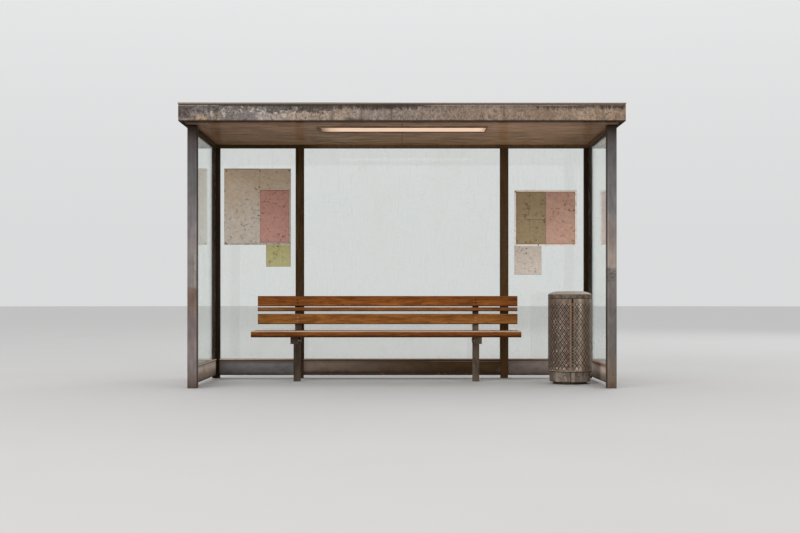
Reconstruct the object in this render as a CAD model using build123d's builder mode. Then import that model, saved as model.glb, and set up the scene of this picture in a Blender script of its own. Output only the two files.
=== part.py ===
from build123d import *
import os

os.makedirs("parts", exist_ok=True)

# A glazed bus shelter, in millimetres. The ground is Z 0, the open front faces -Y, and X 0, Y 0 is the middle
# of the roof. Left and right are as seen from the front.

# Heights
soffit_height = 2212.0
fascia_drop = 12.0
fascia_face_height = 150.0

# Roof
front_overhang = 300.0
back_overhang = 90.0
side_overhang = 25.0
roof_sheet_thickness = 13.0
roof_sheet_chamfer = 2.0
fascia_thickness = 20.0
fascia_inset = 3.0
soffit_thickness = 15.0
shadow_groove_height = 9.0
shadow_groove_depth = 5.0
seam_width = 3.0
seam_depth = 2.0

# Frame of square tubes
posts_outer_width = 3600.0
front_to_back_faces = 1340.0
front_post_side = 80.0
back_post_side = 70.0
side_bay_clear = 725.0
rail_width = 40.0
rail_height = 27.0
side_wall_inset = 28.0
post_corner_radius = 5.0

# Kick panels and panes
kick_bottom = 28.0
kick_height = 150.0
kick_thickness = 40.0
side_kick_thickness = 32.0
side_kick_lip = 5.8
kick_edge_chamfer = 2.0
glass_thickness = 8.0
glass_play = 0.2
groove_depth = 12.0
pane_end_gap = 1.0

# Ceiling light
light_length = 1450.0
light_depth = 312.0
light_setback = 110.0
light_drop = 12.0
light_frame_width = 32.0
light_frame_edge = 10.0
light_cover_thickness = 8.0

# Litter bin
bin_side_gap = 80.0
bin_back_gap = 553.0
bin_radius = 192.0
bin_wall = 3.0
bin_plinth_radius = 150.0
bin_plinth_height = 20.0
bin_band_inset = 12.0
bin_band_height = 96.0
bin_band_rounding = 8.0
bin_flange_width = 32.0
bin_shell_height = 637.0
bin_rim_height = 38.0
bin_dome_rise = 27.0
bin_dome_radius = 160.0
bin_mouth_radius = 105.0
bin_mouth_lip = 25.0
liner_clearance = 14.0
liner_below_rim = 18.0

# Bench
bench_wall_gap = 409.0
bench_bin_gap = 229.0
bench_back_gap = 150.0
seat_top = 460.0
board_width = 95.0
seat_board_thickness = 54.0
seat_board_count = 4
board_gap = 14.0
seat_edge_radius = 20.0
board_edge_radius = 4.0
back_board_thickness = 35.0
back_board_gap = 8.0
seat_to_back_gap = 56.0
lower_board_gap = 25.0
back_slat_height = 36.0
back_slat_gap = 11.0
back_board_inset = 12.0
back_board_overrun = 5.0
bench_leg_side = 60.0
bench_leg_inset = 396.0
bench_leg_setback = 180.0
bearer_width = 62.0
bearer_height = 60.0
bearer_shift = 12.0
bearer_setback = 14.0
upright_width = 56.0
upright_depth = 40.0
upright_shift = 13.0
upright_below_top = 8.0

# Boards and sheets on the back panes: distances from the posts beside them, from the rail above or from the
# edges of the board that a sheet lies on
board_sheet_thickness = 4.0
paper_thickness = 1.0
left_board_side_gaps = (42.0, 50.0)
left_board_drop = 197.0
left_board_height = 723.0
left_sheet_margins = (340.0, 16.0)
left_sheet_drop = 203.0
left_sheet_height = 499.0
left_note_width = 234.0
left_note_height = 206.0
right_board_side_gaps = (62.0, 71.0)
right_board_drop = 400.0
right_board_height = 532.0
right_sheet_margin = 16.0
right_sheet_share = 0.5
right_note_width = 257.0
right_note_height = 270.0
note_gap = 2.0

# Places worked out from the sizes above
roof_width = posts_outer_width + 2 * side_overhang
roof_depth = front_overhang + front_to_back_faces + back_post_side + back_overhang
roof_front = -roof_depth / 2
fascia_bottom = soffit_height - fascia_drop
roof_top = fascia_bottom + fascia_face_height
fascia_top = roof_top - roof_sheet_thickness
fascia_height = fascia_top - fascia_bottom
fascia_outer_x = roof_width / 2 - fascia_inset
fascia_outer_y = roof_depth / 2 - fascia_inset
post_outer_x = posts_outer_width / 2
front_face_y = roof_front + front_overhang
front_post_x = post_outer_x - front_post_side / 2
front_post_y = front_face_y + front_post_side / 2
front_post_back = front_face_y + front_post_side
back_front = front_face_y + front_to_back_faces
back_wall_y = back_front + back_post_side / 2
back_post_x = post_outer_x - back_post_side / 2
back_post_inner_x = post_outer_x - back_post_side
inner_post_half = back_post_side / 2
inner_post_offset = back_post_inner_x - side_bay_clear - inner_post_half
side_wall_x = post_outer_x - side_wall_inset
rail_bottom = soffit_height - rail_height
kick_top = kick_bottom + kick_height
back_kick_front = back_wall_y - kick_thickness / 2
groove_width = glass_thickness + 2 * glass_play
side_kick_inner_x = side_wall_x - groove_width / 2 - side_kick_lip
side_kick_x = side_kick_inner_x + side_kick_thickness / 2
pane_bottom = kick_top - groove_depth
pane_top = rail_bottom + groove_depth - pane_end_gap
pane_height = pane_top - pane_bottom
glass_face_y = back_wall_y - glass_thickness / 2
pane_reach = groove_depth - pane_end_gap


def span_sketch(x0, x1, y0, y1):
    """Draws a rectangle from x0 to x1 and y0 to y1 in the current sketch."""
    with Locations(((x0 + x1) / 2, (y0 + y1) / 2)):
        Rectangle(x1 - x0, y1 - y0)


# Front posts: square tubes with a channel for the side pane in their rear face
for side, name in ((-1, "front_post_left"), (1, "front_post_right")):
    with BuildPart() as front_post:
        with BuildSketch(Plane.XY):
            with Locations((side * front_post_x, front_post_y)):
                Rectangle(front_post_side, front_post_side)
        extrude(amount=soffit_height)
        fillet(front_post.edges().filter_by(Axis.Z), radius=post_corner_radius)
        with BuildSketch(Plane.XY.offset(pane_bottom)):
            half = groove_width / 2
            x = side * side_wall_x
            span_sketch(x - half, x + half, front_post_back - groove_depth, front_post_back)
        extrude(amount=pane_height, mode=Mode.SUBTRACT)
    front_post.part.label = name
    export_step(front_post.part, f"parts/{name}.step")

# Back corner posts: channels for the side pane in the front face and for the back pane in the inner face
for side, name in ((-1, "back_post_left"), (1, "back_post_right")):
    with BuildPart() as corner_post:
        with BuildSketch(Plane.XY):
            with Locations((side * back_post_x, back_wall_y)):
                Rectangle(back_post_side, back_post_side)
        extrude(amount=soffit_height)
        fillet(corner_post.edges().filter_by(Axis.Z), radius=post_corner_radius)
        with BuildSketch(Plane.XY.offset(pane_bottom)):
            half = groove_width / 2
            x = side * side_wall_x
            span_sketch(x - half, x + half, back_front, back_front + groove_depth)
            inner = side * back_post_inner_x
            with Locations((inner + side * groove_depth / 2, back_wall_y)):
                Rectangle(groove_depth, groove_width)
        extrude(amount=pane_height, mode=Mode.SUBTRACT)
    corner_post.part.label = name
    export_step(corner_post.part, f"parts/{name}.step")

# Inner back posts: a channel in each side, ending under the back head rail
for side, name in ((-1, "back_post_inner_left"), (1, "back_post_inner_right")):
    with BuildPart() as inner_post:
        with BuildSketch(Plane.XY):
            with Locations((side * inner_post_offset, back_wall_y)):
                Rectangle(back_post_side, back_post_side)
        extrude(amount=rail_bottom)
        fillet(inner_post.edges().filter_by(Axis.Z), radius=post_corner_radius)
        with BuildSketch(Plane.XY.offset(pane_bottom)):
            for face in (-1, 1):
                x = side * inner_post_offset + face * (inner_post_half - groove_depth / 2)
                with Locations((x, back_wall_y)):
                    Rectangle(groove_depth, groove_width)
        extrude(amount=rail_bottom - pane_bottom, mode=Mode.SUBTRACT)
    inner_post.part.label = name
    export_step(inner_post.part, f"parts/{name}.step")

# Back head rail: runs between the corner posts over the inner posts, with a channel below for the panes
with BuildPart() as head_rail_back:
    with BuildSketch(Plane.XY.offset(rail_bottom)):
        with Locations((0, back_wall_y)):
            Rectangle(2 * back_post_inner_x, rail_width)
    extrude(amount=rail_height)
    with BuildSketch(Plane.XY.offset(rail_bottom)):
        with Locations((0, back_wall_y)):
            Rectangle(2 * back_post_inner_x, groove_width)
    extrude(amount=groove_depth, mode=Mode.SUBTRACT)
head_rail_back.part.label = "head_rail_back"
export_step(head_rail_back.part, "parts/head_rail_back.step")

# Side head rails: from the front post to the back corner post
for side, name in ((-1, "head_rail_left"), (1, "head_rail_right")):
    with BuildPart() as side_rail:
        x = side * side_wall_x
        with BuildSketch(Plane.XY.offset(rail_bottom)):
            span_sketch(x - rail_width / 2, x + rail_width / 2, front_post_back, back_front)
        extrude(amount=rail_height)
        with BuildSketch(Plane.XY.offset(rail_bottom)):
            span_sketch(x - groove_width / 2, x + groove_width / 2, front_post_back, back_front)
        extrude(amount=groove_depth, mode=Mode.SUBTRACT)
    side_rail.part.label = name
    export_step(side_rail.part, f"parts/{name}.step")

# Back bays between the posts, as the clear width of each
inner_edge = inner_post_offset - inner_post_half
outer_edge = inner_post_offset + inner_post_half
back_bays = {
    "left": (-back_post_inner_x, -outer_edge),
    "middle": (-inner_edge, inner_edge),
    "right": (outer_edge, back_post_inner_x),
}

for bay, (x0, x1) in back_bays.items():
    # Kick panel of the bay, clear of the ground, with a channel in its top edge
    with BuildPart() as kick_panel:
        with BuildSketch(Plane.XY.offset(kick_bottom)):
            span_sketch(x0, x1, back_kick_front, back_kick_front + kick_thickness)
        extrude(amount=kick_height)
        chamfer(kick_panel.edges().filter_by(Axis.X), length=kick_edge_chamfer)
        with BuildSketch(Plane.XY.offset(pane_bottom)):
            span_sketch(x0, x1, back_wall_y - groove_width / 2, back_wall_y + groove_width / 2)
        extrude(amount=groove_depth, mode=Mode.SUBTRACT)
    kick_panel.part.label = f"kick_panel_back_{bay}"
    export_step(kick_panel.part, f"parts/kick_panel_back_{bay}.step")

    # Pane of the bay, standing in the kick panel's channel
    with BuildPart() as back_pane:
        with BuildSketch(Plane.XY.offset(pane_bottom)):
            half = glass_thickness / 2
            span_sketch(x0 - pane_reach, x1 + pane_reach, back_wall_y - half, back_wall_y + half)
        extrude(amount=pane_height)
    back_pane.part.label = f"glass_back_{bay}"
    export_step(back_pane.part, f"parts/glass_back_{bay}.step")

for side, place in ((-1, "left"), (1, "right")):
    x = side * side_wall_x
    # Kick panel of the side wall
    with BuildPart() as side_kick:
        with BuildSketch(Plane.XY.offset(kick_bottom)):
            with Locations((side * side_kick_x, (front_post_back + back_front) / 2)):
                Rectangle(side_kick_thickness, back_front - front_post_back)
        extrude(amount=kick_height)
        chamfer(side_kick.edges().filter_by(Axis.Y), length=kick_edge_chamfer)
        with BuildSketch(Plane.XY.offset(pane_bottom)):
            span_sketch(x - groove_width / 2, x + groove_width / 2, front_post_back, back_front)
        extrude(amount=groove_depth, mode=Mode.SUBTRACT)
    side_kick.part.label = f"kick_panel_{place}"
    export_step(side_kick.part, f"parts/kick_panel_{place}.step")

    # Pane of the side wall
    with BuildPart() as side_pane:
        with BuildSketch(Plane.XY.offset(pane_bottom)):
            half = glass_thickness / 2
            span_sketch(x - half, x + half, front_post_back - pane_reach, back_front + pane_reach)
        extrude(amount=pane_height)
    side_pane.part.label = f"glass_{place}"
    export_step(side_pane.part, f"parts/glass_{place}.step")

# Front fascia: a folded edge with a shadow groove under the roof sheet and a seam in the middle
with BuildPart() as fascia_front:
    with BuildSketch(Plane.XY.offset(fascia_bottom)):
        y0 = -fascia_outer_y
        span_sketch(-fascia_outer_x, fascia_outer_x, y0, y0 + fascia_thickness)
    extrude(amount=fascia_height)
    with BuildSketch(Plane.XY.offset(fascia_top - shadow_groove_height)):
        span_sketch(-fascia_outer_x, fascia_outer_x, y0, y0 + shadow_groove_depth)
    extrude(amount=shadow_groove_height, mode=Mode.SUBTRACT)
    with BuildSketch(Plane.XY.offset(fascia_bottom)):
        span_sketch(-seam_width / 2, seam_width / 2, y0, y0 + seam_depth)
    extrude(amount=fascia_height - shadow_groove_height, mode=Mode.SUBTRACT)
fascia_front.part.label = "fascia_front"
export_step(fascia_front.part, "parts/fascia_front.step")

# Back fascia
with BuildPart() as fascia_back:
    with BuildSketch(Plane.XY.offset(fascia_bottom)):
        y1 = fascia_outer_y
        span_sketch(-fascia_outer_x, fascia_outer_x, y1 - fascia_thickness, y1)
    extrude(amount=fascia_height)
    with BuildSketch(Plane.XY.offset(fascia_top - shadow_groove_height)):
        span_sketch(-fascia_outer_x, fascia_outer_x, y1 - shadow_groove_depth, y1)
    extrude(amount=shadow_groove_height, mode=Mode.SUBTRACT)
fascia_back.part.label = "fascia_back"
export_step(fascia_back.part, "parts/fascia_back.step")

# Side fascias, fitted between the front and back ones
inner_y = fascia_outer_y - fascia_thickness
for side, name in ((-1, "fascia_left"), (1, "fascia_right")):
    with BuildPart() as side_fascia:
        centre_x = side * (fascia_outer_x - fascia_thickness / 2)
        with BuildSketch(Plane.XY.offset(fascia_bottom)):
            with Locations((centre_x, 0)):
                Rectangle(fascia_thickness, 2 * inner_y)
        extrude(amount=fascia_height)
        groove_x = side * (fascia_outer_x - shadow_groove_depth / 2)
        with BuildSketch(Plane.XY.offset(fascia_top - shadow_groove_height)):
            with Locations((groove_x, 0)):
                Rectangle(shadow_groove_depth, 2 * inner_y)
        extrude(amount=shadow_groove_height, mode=Mode.SUBTRACT)
    side_fascia.part.label = name
    export_step(side_fascia.part, f"parts/{name}.step")

# Soffit: the ceiling sheet that rests on the posts and rails, inside the fascias
inner_x = fascia_outer_x - fascia_thickness
with BuildPart() as soffit:
    with BuildSketch(Plane.XY.offset(soffit_height)):
        Rectangle(2 * inner_x, 2 * inner_y)
    extrude(amount=soffit_thickness)
soffit.part.label = "soffit"
export_step(soffit.part, "parts/soffit.step")

# Roof sheet: the top skin, whose edge is the thin lip above the fascia
with BuildPart() as roof_sheet:
    with BuildSketch(Plane.XY.offset(fascia_top)):
        Rectangle(roof_width, roof_depth)
    extrude(amount=roof_sheet_thickness)
    chamfer(roof_sheet.faces().sort_by(Axis.Z)[-1].edges(), length=roof_sheet_chamfer)
roof_sheet.part.label = "roof_sheet"
export_step(roof_sheet.part, "parts/roof_sheet.step")

# Ceiling light: a flat frame under the soffit and its cover
light_bottom = soffit_height - light_drop
light_centre_y = front_face_y + light_setback + light_depth / 2
with BuildPart() as light_frame:
    with BuildSketch(Plane.XY.offset(light_bottom)):
        with Locations((0, light_centre_y)):
            Rectangle(light_length, light_depth)
            Rectangle(
                light_length - 2 * light_frame_width,
                light_depth - 2 * light_frame_edge,
                mode=Mode.SUBTRACT,
            )
    extrude(amount=light_drop)
light_frame.part.label = "light_frame"
export_step(light_frame.part, "parts/light_frame.step")

with BuildPart() as light_cover:
    with BuildSketch(Plane.XY.offset(soffit_height - light_cover_thickness)):
        with Locations((0, light_centre_y)):
            Rectangle(light_length - 2 * light_frame_width, light_depth - 2 * light_frame_edge)
    extrude(amount=light_cover_thickness)
light_cover.part.label = "light_cover"
export_step(light_cover.part, "parts/light_cover.step")

# Litter bin places
bin_x = side_kick_inner_x - bin_side_gap - bin_radius
bin_y = back_kick_front - bin_back_gap - bin_radius
bin_shell_bottom = bin_plinth_height + bin_band_height
bin_shell_top = bin_shell_bottom + bin_shell_height
bin_rim_top = bin_shell_top + bin_rim_height
bin_lid_top = bin_rim_top + bin_dome_rise
bin_inner_radius = bin_radius - bin_wall

# Litter bin base: a low plinth and a plain band, on which the shell stands
with BuildPart() as bin_base:
    with BuildSketch(Plane.XY.offset(bin_plinth_height)):
        with Locations((bin_x, bin_y)):
            Circle(bin_radius - bin_band_inset)
    extrude(amount=bin_band_height)
    fillet(bin_base.faces().sort_by(Axis.Z)[0].edges(), radius=bin_band_rounding)
    with BuildSketch(Plane.XY):
        with Locations((bin_x, bin_y)):
            Circle(bin_plinth_radius)
    extrude(amount=bin_plinth_height)
bin_base.part.label = "bin_base"
export_step(bin_base.part, "parts/bin_base.step")

# Litter bin shell: a tube of sheet with an inward flange at the foot
with BuildPart() as bin_shell:
    with BuildSketch(Plane.XY.offset(bin_shell_bottom)):
        with Locations((bin_x, bin_y)):
            Circle(bin_radius)
            Circle(bin_inner_radius, mode=Mode.SUBTRACT)
    extrude(amount=bin_shell_height)
    with BuildSketch(Plane.XY.offset(bin_shell_bottom)):
        with Locations((bin_x, bin_y)):
            Circle(bin_inner_radius)
            Circle(bin_radius - bin_flange_width, mode=Mode.SUBTRACT)
    extrude(amount=bin_wall)
bin_shell.part.label = "bin_shell"
export_step(bin_shell.part, "parts/bin_shell.step")

# Inner bucket of the bin, standing on the flange of the shell
liner_radius = bin_inner_radius - liner_clearance
liner_bottom = bin_shell_bottom + bin_wall
liner_top = bin_shell_top - liner_below_rim
with BuildPart() as bin_liner:
    with BuildSketch(Plane.XY.offset(liner_bottom)):
        with Locations((bin_x, bin_y)):
            Circle(liner_radius)
    extrude(amount=bin_wall)
    with BuildSketch(Plane.XY.offset(liner_bottom)):
        with Locations((bin_x, bin_y)):
            Circle(liner_radius)
            Circle(liner_radius - bin_wall, mode=Mode.SUBTRACT)
    extrude(amount=liner_top - liner_bottom)
bin_liner.part.label = "bin_liner"
export_step(bin_liner.part, "parts/bin_liner.step")

# Lid: a rim band, a slightly domed ring and a lip round the mouth, as one turned sheet
lip_outer_radius = bin_mouth_radius + bin_wall
lip_bottom = bin_lid_top - bin_mouth_lip
with BuildPart() as bin_lid:
    with BuildSketch(Plane.XZ):
        with BuildLine():
            Polyline(
                (bin_inner_radius, bin_shell_top),
                (bin_radius, bin_shell_top),
                (bin_radius, bin_rim_top),
            )
            RadiusArc((bin_radius, bin_rim_top), (bin_mouth_radius, bin_lid_top), -bin_dome_radius)
            Polyline(
                (bin_mouth_radius, bin_lid_top),
                (bin_mouth_radius, lip_bottom),
                (lip_outer_radius, lip_bottom),
                (lip_outer_radius, bin_lid_top - bin_wall),
            )
            RadiusArc(
                (lip_outer_radius, bin_lid_top - bin_wall),
                (bin_inner_radius, bin_rim_top - bin_wall),
                bin_dome_radius - bin_wall,
            )
            Line((bin_inner_radius, bin_rim_top - bin_wall), (bin_inner_radius, bin_shell_top))
        make_face()
    revolve(axis=Axis.Z)
lid_at_bin = bin_lid.part.moved(Location((bin_x, bin_y, 0)))
lid_at_bin.label = "bin_lid"
export_step(lid_at_bin, "parts/bin_lid.step")

# Bench places
seat_bottom = seat_top - seat_board_thickness
seat_pitch = board_width + board_gap
seat_depth = seat_board_count * board_width + (seat_board_count - 1) * board_gap
upright_rear_y = back_kick_front - bench_back_gap
back_board_rear_y = upright_rear_y - upright_depth
back_board_front_y = back_board_rear_y - back_board_thickness
bench_front_y = back_board_front_y - back_board_gap - seat_depth
bearer_front_y = bench_front_y + bearer_setback
bearer_bottom = seat_bottom - bearer_height
bench_x0 = -side_kick_inner_x + bench_wall_gap
bench_x1 = bin_x - bin_radius - bench_bin_gap
lower_board_top = seat_top + seat_to_back_gap + board_width
slat_top = lower_board_top + lower_board_gap + back_slat_height
back_top = slat_top + back_slat_gap + board_width

# Bench frames: a leg from the ground, a bearer under the seat and an upright behind the back boards
bench_frames = (
    (-1, "bench_frame_left", bench_x0 + bench_leg_inset),
    (1, "bench_frame_right", bench_x1 - bench_leg_inset),
)
for side, name, leg_x in bench_frames:
    with BuildPart() as bench_frame:
        with BuildSketch(Plane.XY):
            with Locations((leg_x, bench_front_y + bench_leg_setback + bench_leg_side / 2)):
                Rectangle(bench_leg_side, bench_leg_side)
        extrude(amount=seat_bottom)
        bearer_x = leg_x + side * bearer_shift
        with BuildSketch(Plane.XY.offset(bearer_bottom)):
            half = bearer_width / 2
            span_sketch(bearer_x - half, bearer_x + half, bearer_front_y, upright_rear_y)
        extrude(amount=bearer_height)
        with BuildSketch(Plane.XY.offset(bearer_bottom)):
            upright_x = leg_x + side * upright_shift
            half = upright_width / 2
            span_sketch(upright_x - half, upright_x + half, back_board_rear_y, upright_rear_y)
        extrude(amount=back_top - upright_below_top - bearer_bottom)
    bench_frame.part.label = name
    export_step(bench_frame.part, f"parts/{name}.step")

# Front seat board, with a well rounded front upper edge
with BuildPart() as seat_front:
    with BuildSketch(Plane.XY.offset(seat_bottom)):
        span_sketch(bench_x0, bench_x1, bench_front_y, bench_front_y + board_width)
    extrude(amount=seat_board_thickness)
    top_edges = seat_front.faces().sort_by(Axis.Z)[-1].edges().filter_by(Axis.X).sort_by(Axis.Y)
    fillet(top_edges[0], radius=seat_edge_radius)
    back_edges = seat_front.faces().sort_by(Axis.Z)[-1].edges().filter_by(Axis.X).sort_by(Axis.Y)
    fillet(back_edges[-1], radius=board_edge_radius)
seat_front.part.label = "bench_seat_board_front"
export_step(seat_front.part, "parts/bench_seat_board_front.step")

# The other seat boards
with BuildPart() as seat_rear:
    with BuildSketch(Plane.XY.offset(seat_bottom)):
        for index in range(1, seat_board_count):
            y0 = bench_front_y + index * seat_pitch
            span_sketch(bench_x0, bench_x1, y0, y0 + board_width)
    extrude(amount=seat_board_thickness)
    upper = seat_rear.faces().filter_by(Axis.Z).sort_by(Axis.Z)[-(seat_board_count - 1):]
    fillet(upper.edges().filter_by(Axis.X), radius=board_edge_radius)
seat_rear.part.label = "bench_seat_boards_rear"
export_step(seat_rear.part, "parts/bench_seat_boards_rear.step")

# Back boards: a wide board, a narrow slat and a second wide board, seated on the uprights
back_boards = (
    ("bench_back_board_top", back_top, board_width),
    ("bench_back_slat", slat_top, back_slat_height),
    ("bench_back_board_low", lower_board_top, board_width),
)
for name, top, height in back_boards:
    with BuildPart() as back_board:
        with BuildSketch(Plane.XY.offset(top - height)):
            x0, x1 = bench_x0 + back_board_inset, bench_x1 + back_board_overrun
            span_sketch(x0, x1, back_board_front_y, back_board_rear_y)
        extrude(amount=height)
        front_edges = back_board.faces().sort_by(Axis.Y)[0].edges().filter_by(Axis.X)
        fillet(front_edges, radius=board_edge_radius)
    back_board.part.label = name
    export_step(back_board.part, f"parts/{name}.step")

# Boards and sheets on the front face of the back panes, each as its span in X and in Z
left_x = (-back_post_inner_x + left_board_side_gaps[0], -outer_edge - left_board_side_gaps[1])
left_top = rail_bottom - left_board_drop
left_z = (left_top - left_board_height, left_top)
left_sheet_x = (left_x[0] + left_sheet_margins[0], left_x[1] - left_sheet_margins[1])
left_sheet_top = left_top - left_sheet_drop
left_sheet_z = (left_sheet_top - left_sheet_height, left_sheet_top)
left_note_x = (left_x[1] - note_gap - left_note_width, left_x[1] - note_gap)
left_note_top = left_z[0] - note_gap
left_note_z = (left_note_top - left_note_height, left_note_top)

right_x = (outer_edge + right_board_side_gaps[0], back_post_inner_x - right_board_side_gaps[1])
right_top = rail_bottom - right_board_drop
right_z = (right_top - right_board_height, right_top)
right_sheet_x = (right_x[0] + right_sheet_margin, right_x[1] - right_sheet_margin)
right_sheet_z = (right_z[0] + right_sheet_margin, right_z[1] - right_sheet_margin)
right_fold = right_sheet_x[0] + right_sheet_share * (right_sheet_x[1] - right_sheet_x[0])
right_note_x = (right_x[0], right_x[0] + right_note_width)
right_note_top = right_z[0] - note_gap
right_note_z = (right_note_top - right_note_height, right_note_top)

# Name, span in X, span in Z, thickness, and distance of the back of the piece from the pane
on_pane = 0.0
on_board = board_sheet_thickness
flat_pieces = (
    ("notice_board_left", left_x, left_z, board_sheet_thickness, on_pane),
    ("notice_sheet_left", left_sheet_x, left_sheet_z, paper_thickness, on_board),
    ("note_left", left_note_x, left_note_z, paper_thickness, on_pane),
    ("notice_board_right", right_x, right_z, board_sheet_thickness, on_pane),
    ("notice_sheet_right_a", (right_sheet_x[0], right_fold), right_sheet_z, paper_thickness, on_board),
    ("notice_sheet_right_b", (right_fold, right_sheet_x[1]), right_sheet_z, paper_thickness, on_board),
    ("note_right", right_note_x, right_note_z, paper_thickness, on_pane),
)
for name, (x0, x1), (z0, z1), thickness, off_pane in flat_pieces:
    with BuildPart() as flat_piece:
        with BuildSketch(Plane.XY.offset(z0)):
            y1 = glass_face_y - off_pane
            span_sketch(x0, x1, y1 - thickness, y1)
        extrude(amount=z1 - z0)
    flat_piece.part.label = name
    export_step(flat_piece.part, f"parts/{name}.step")
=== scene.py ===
# %% [markdown]
# # A weathered bus shelter
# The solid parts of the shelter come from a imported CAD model. It is the fixed frame of this scene: every
# part is already in its place, in metres, with the feet at z 0 and the open front towards -y. The cells
# below dress it. Each CAD part gets a finish written as shader nodes, and the small parts that the eye
# expects, such as glazing seals, bolts, curled paper and a perforated bin, are built as meshes and hung on
# the frame.

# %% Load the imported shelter
import math
import bmesh
import bpy
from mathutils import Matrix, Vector


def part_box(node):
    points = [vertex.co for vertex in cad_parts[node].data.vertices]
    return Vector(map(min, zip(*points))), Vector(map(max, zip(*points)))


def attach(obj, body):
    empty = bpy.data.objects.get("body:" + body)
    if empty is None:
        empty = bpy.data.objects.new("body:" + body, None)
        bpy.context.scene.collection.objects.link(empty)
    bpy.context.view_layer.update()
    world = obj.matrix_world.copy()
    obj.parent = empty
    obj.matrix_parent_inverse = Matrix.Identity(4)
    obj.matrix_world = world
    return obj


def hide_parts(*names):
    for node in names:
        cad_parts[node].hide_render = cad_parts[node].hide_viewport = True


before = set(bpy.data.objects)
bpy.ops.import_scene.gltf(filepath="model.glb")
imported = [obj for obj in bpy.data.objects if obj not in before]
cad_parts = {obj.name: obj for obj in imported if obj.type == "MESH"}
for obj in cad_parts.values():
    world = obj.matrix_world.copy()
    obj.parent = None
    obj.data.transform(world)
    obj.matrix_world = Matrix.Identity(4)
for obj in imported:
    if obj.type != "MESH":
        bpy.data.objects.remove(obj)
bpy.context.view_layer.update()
scene = bpy.context.scene

# %% [markdown]
# ## Camera
# The photograph was taken level, from low down, about as high as the back of the bench, and square to the
# front. Upright posts stay upright, and the lines of the side walls meet at one point, a little below the
# middle of the picture. A camera that is tilted to match would make the posts lean, so this one stays level
# and the picture is slid over the lens instead (shift). The length of the lens and both shifts are counted
# in pixels of the picture's width.

# %% The camera, level and square to the front
eye = Vector((0.0, -10.9, 0.75))
picture_width, focal_pixels, slid_aside, slid_up = 800, 1229, -2, 32.5
film_width = 36
camera = bpy.data.objects.new("camera", bpy.data.cameras.new("camera"))
scene.collection.objects.link(camera)
camera.location = eye
camera.rotation_euler = (math.radians(90), 0, 0)
camera.data.sensor_width = film_width
camera.data.lens = film_width * focal_pixels / picture_width
camera.data.shift_x = slid_aside / picture_width
camera.data.shift_y = slid_up / picture_width
camera.data.clip_end = 500
scene.camera = camera
scene.view_settings.view_transform = "Standard"
print("lens", round(camera.data.lens, 1), "mm")

# %% [markdown]
# ## Colours as the eye sees them
# White paint on the front of the roof looks nearly twice as bright as on the back wall, and three times as
# bright as on the ceiling. So the colours below are written as they are seen, in linear light. Each finish
# is told how bright white looks at its place, and divides by that to get the colour of its paint.

# %% How bright white looks at each place
FRONT, INSIDE, CEILING = 1.45, 0.80, 0.44
WHITEST_PAINT = 0.85
print("white inside looks", round(INSIDE / FRONT, 2), "times as bright as white in front")

# %% [markdown]
# ## Writing finishes as sums
# A finish is a graph of nodes, and a graph is tiresome to read as code. Most of it is arithmetic on masks,
# so one small class wraps an output socket and lets Python's own signs write the nodes: `1 - dust` adds a
# Math node, and a sum with a colour or a vector adds a Vector Math node, because a Math node would turn a
# colour grey.

# %% A value that can be added, multiplied and mixed
class Value:
    """One output of a node. Python's arithmetic on it writes the nodes that work it out."""

    def __init__(self, finish, socket):
        self.finish = finish
        self.socket = socket

    def __getitem__(self, name):
        """Another output of the same node."""
        return Value(self.finish, self.socket.node.outputs[name])

    def __add__(self, other):
        return self.finish.arithmetic("ADD", self, other)

    def __sub__(self, other):
        return self.finish.arithmetic("SUBTRACT", self, other)

    def __rsub__(self, other):
        return self.finish.arithmetic("SUBTRACT", other, self)

    def __mul__(self, other):
        return self.finish.arithmetic("MULTIPLY", self, other)

    def __abs__(self):
        return self.finish.arithmetic("ABSOLUTE", self)

    __radd__ = __add__


# %% A finish, and the one method that adds any node to it
def is_wide(value):
    """True for a colour or a vector."""
    return isinstance(value, tuple) or (isinstance(value, Value) and value.socket.type in ("VECTOR", "RGBA"))


class Finish:
    """A material that is written node by node. light is how bright white looks where its parts are."""

    def __init__(self, name, light=None, tree=None):
        if tree is None:
            self.material = bpy.data.materials.new(name)
            self.material.use_nodes = True
            tree = self.material.node_tree
        self.tree = tree
        self.light = light
        self.point = None
        tree.nodes.clear()

    def node(self, kind, settings=None, inputs=None):
        """Adds a node. Its settings come before its inputs, because they decide which sockets it has."""
        made = self.tree.nodes.new("ShaderNode" + kind)
        for name, setting in (settings or {}).items():
            if name == "stops":
                self.set_stops(made.color_ramp, setting)
            else:
                setattr(made, name, setting)
        for name, value in (inputs or {}).items():
            usable = [s for s in made.inputs if not s.is_unavailable]
            socket = usable[name] if isinstance(name, int) else next(s for s in usable if s.name == name)
            if isinstance(value, Value):
                self.tree.links.new(value.socket, socket)
            elif socket.type == "RGBA":
                socket.default_value = (*(value if is_wide(value) else (value,) * 3), 1.0)
            elif socket.type == "VECTOR":
                socket.default_value = value if is_wide(value) else (value,) * 3
            else:
                socket.default_value = value
        shown = [s for s in made.outputs if not s.is_unavailable]
        return Value(self, shown[0]) if shown else None

    def set_stops(self, ramp, stops):
        """Gives a ramp its stops, pairs of a position from 0 to 1 and a colour."""
        for element, (position, colour) in zip(ramp.elements, (stops[0], stops[-1])):
            element.position = position
            element.color = (*colour, 1.0)
        for position, colour in stops[1:-1]:
            ramp.elements.new(position).color = (*colour, 1.0)

    def arithmetic(self, operation, *terms):
        """A Math node, or a Vector Math node if a term is a colour or a vector."""
        kind = "VectorMath" if any(is_wide(t) for t in terms) else "Math"
        return self.node(kind, {"operation": operation}, dict(enumerate(terms)))

    def paint(self, colour):
        """The paint that looks like this colour in the finish's light. What a node makes is paint already."""
        if self.light is None or not isinstance(colour, tuple):
            return colour
        return tuple(min(WHITEST_PAINT, channel / self.light) for channel in colour)


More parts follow.
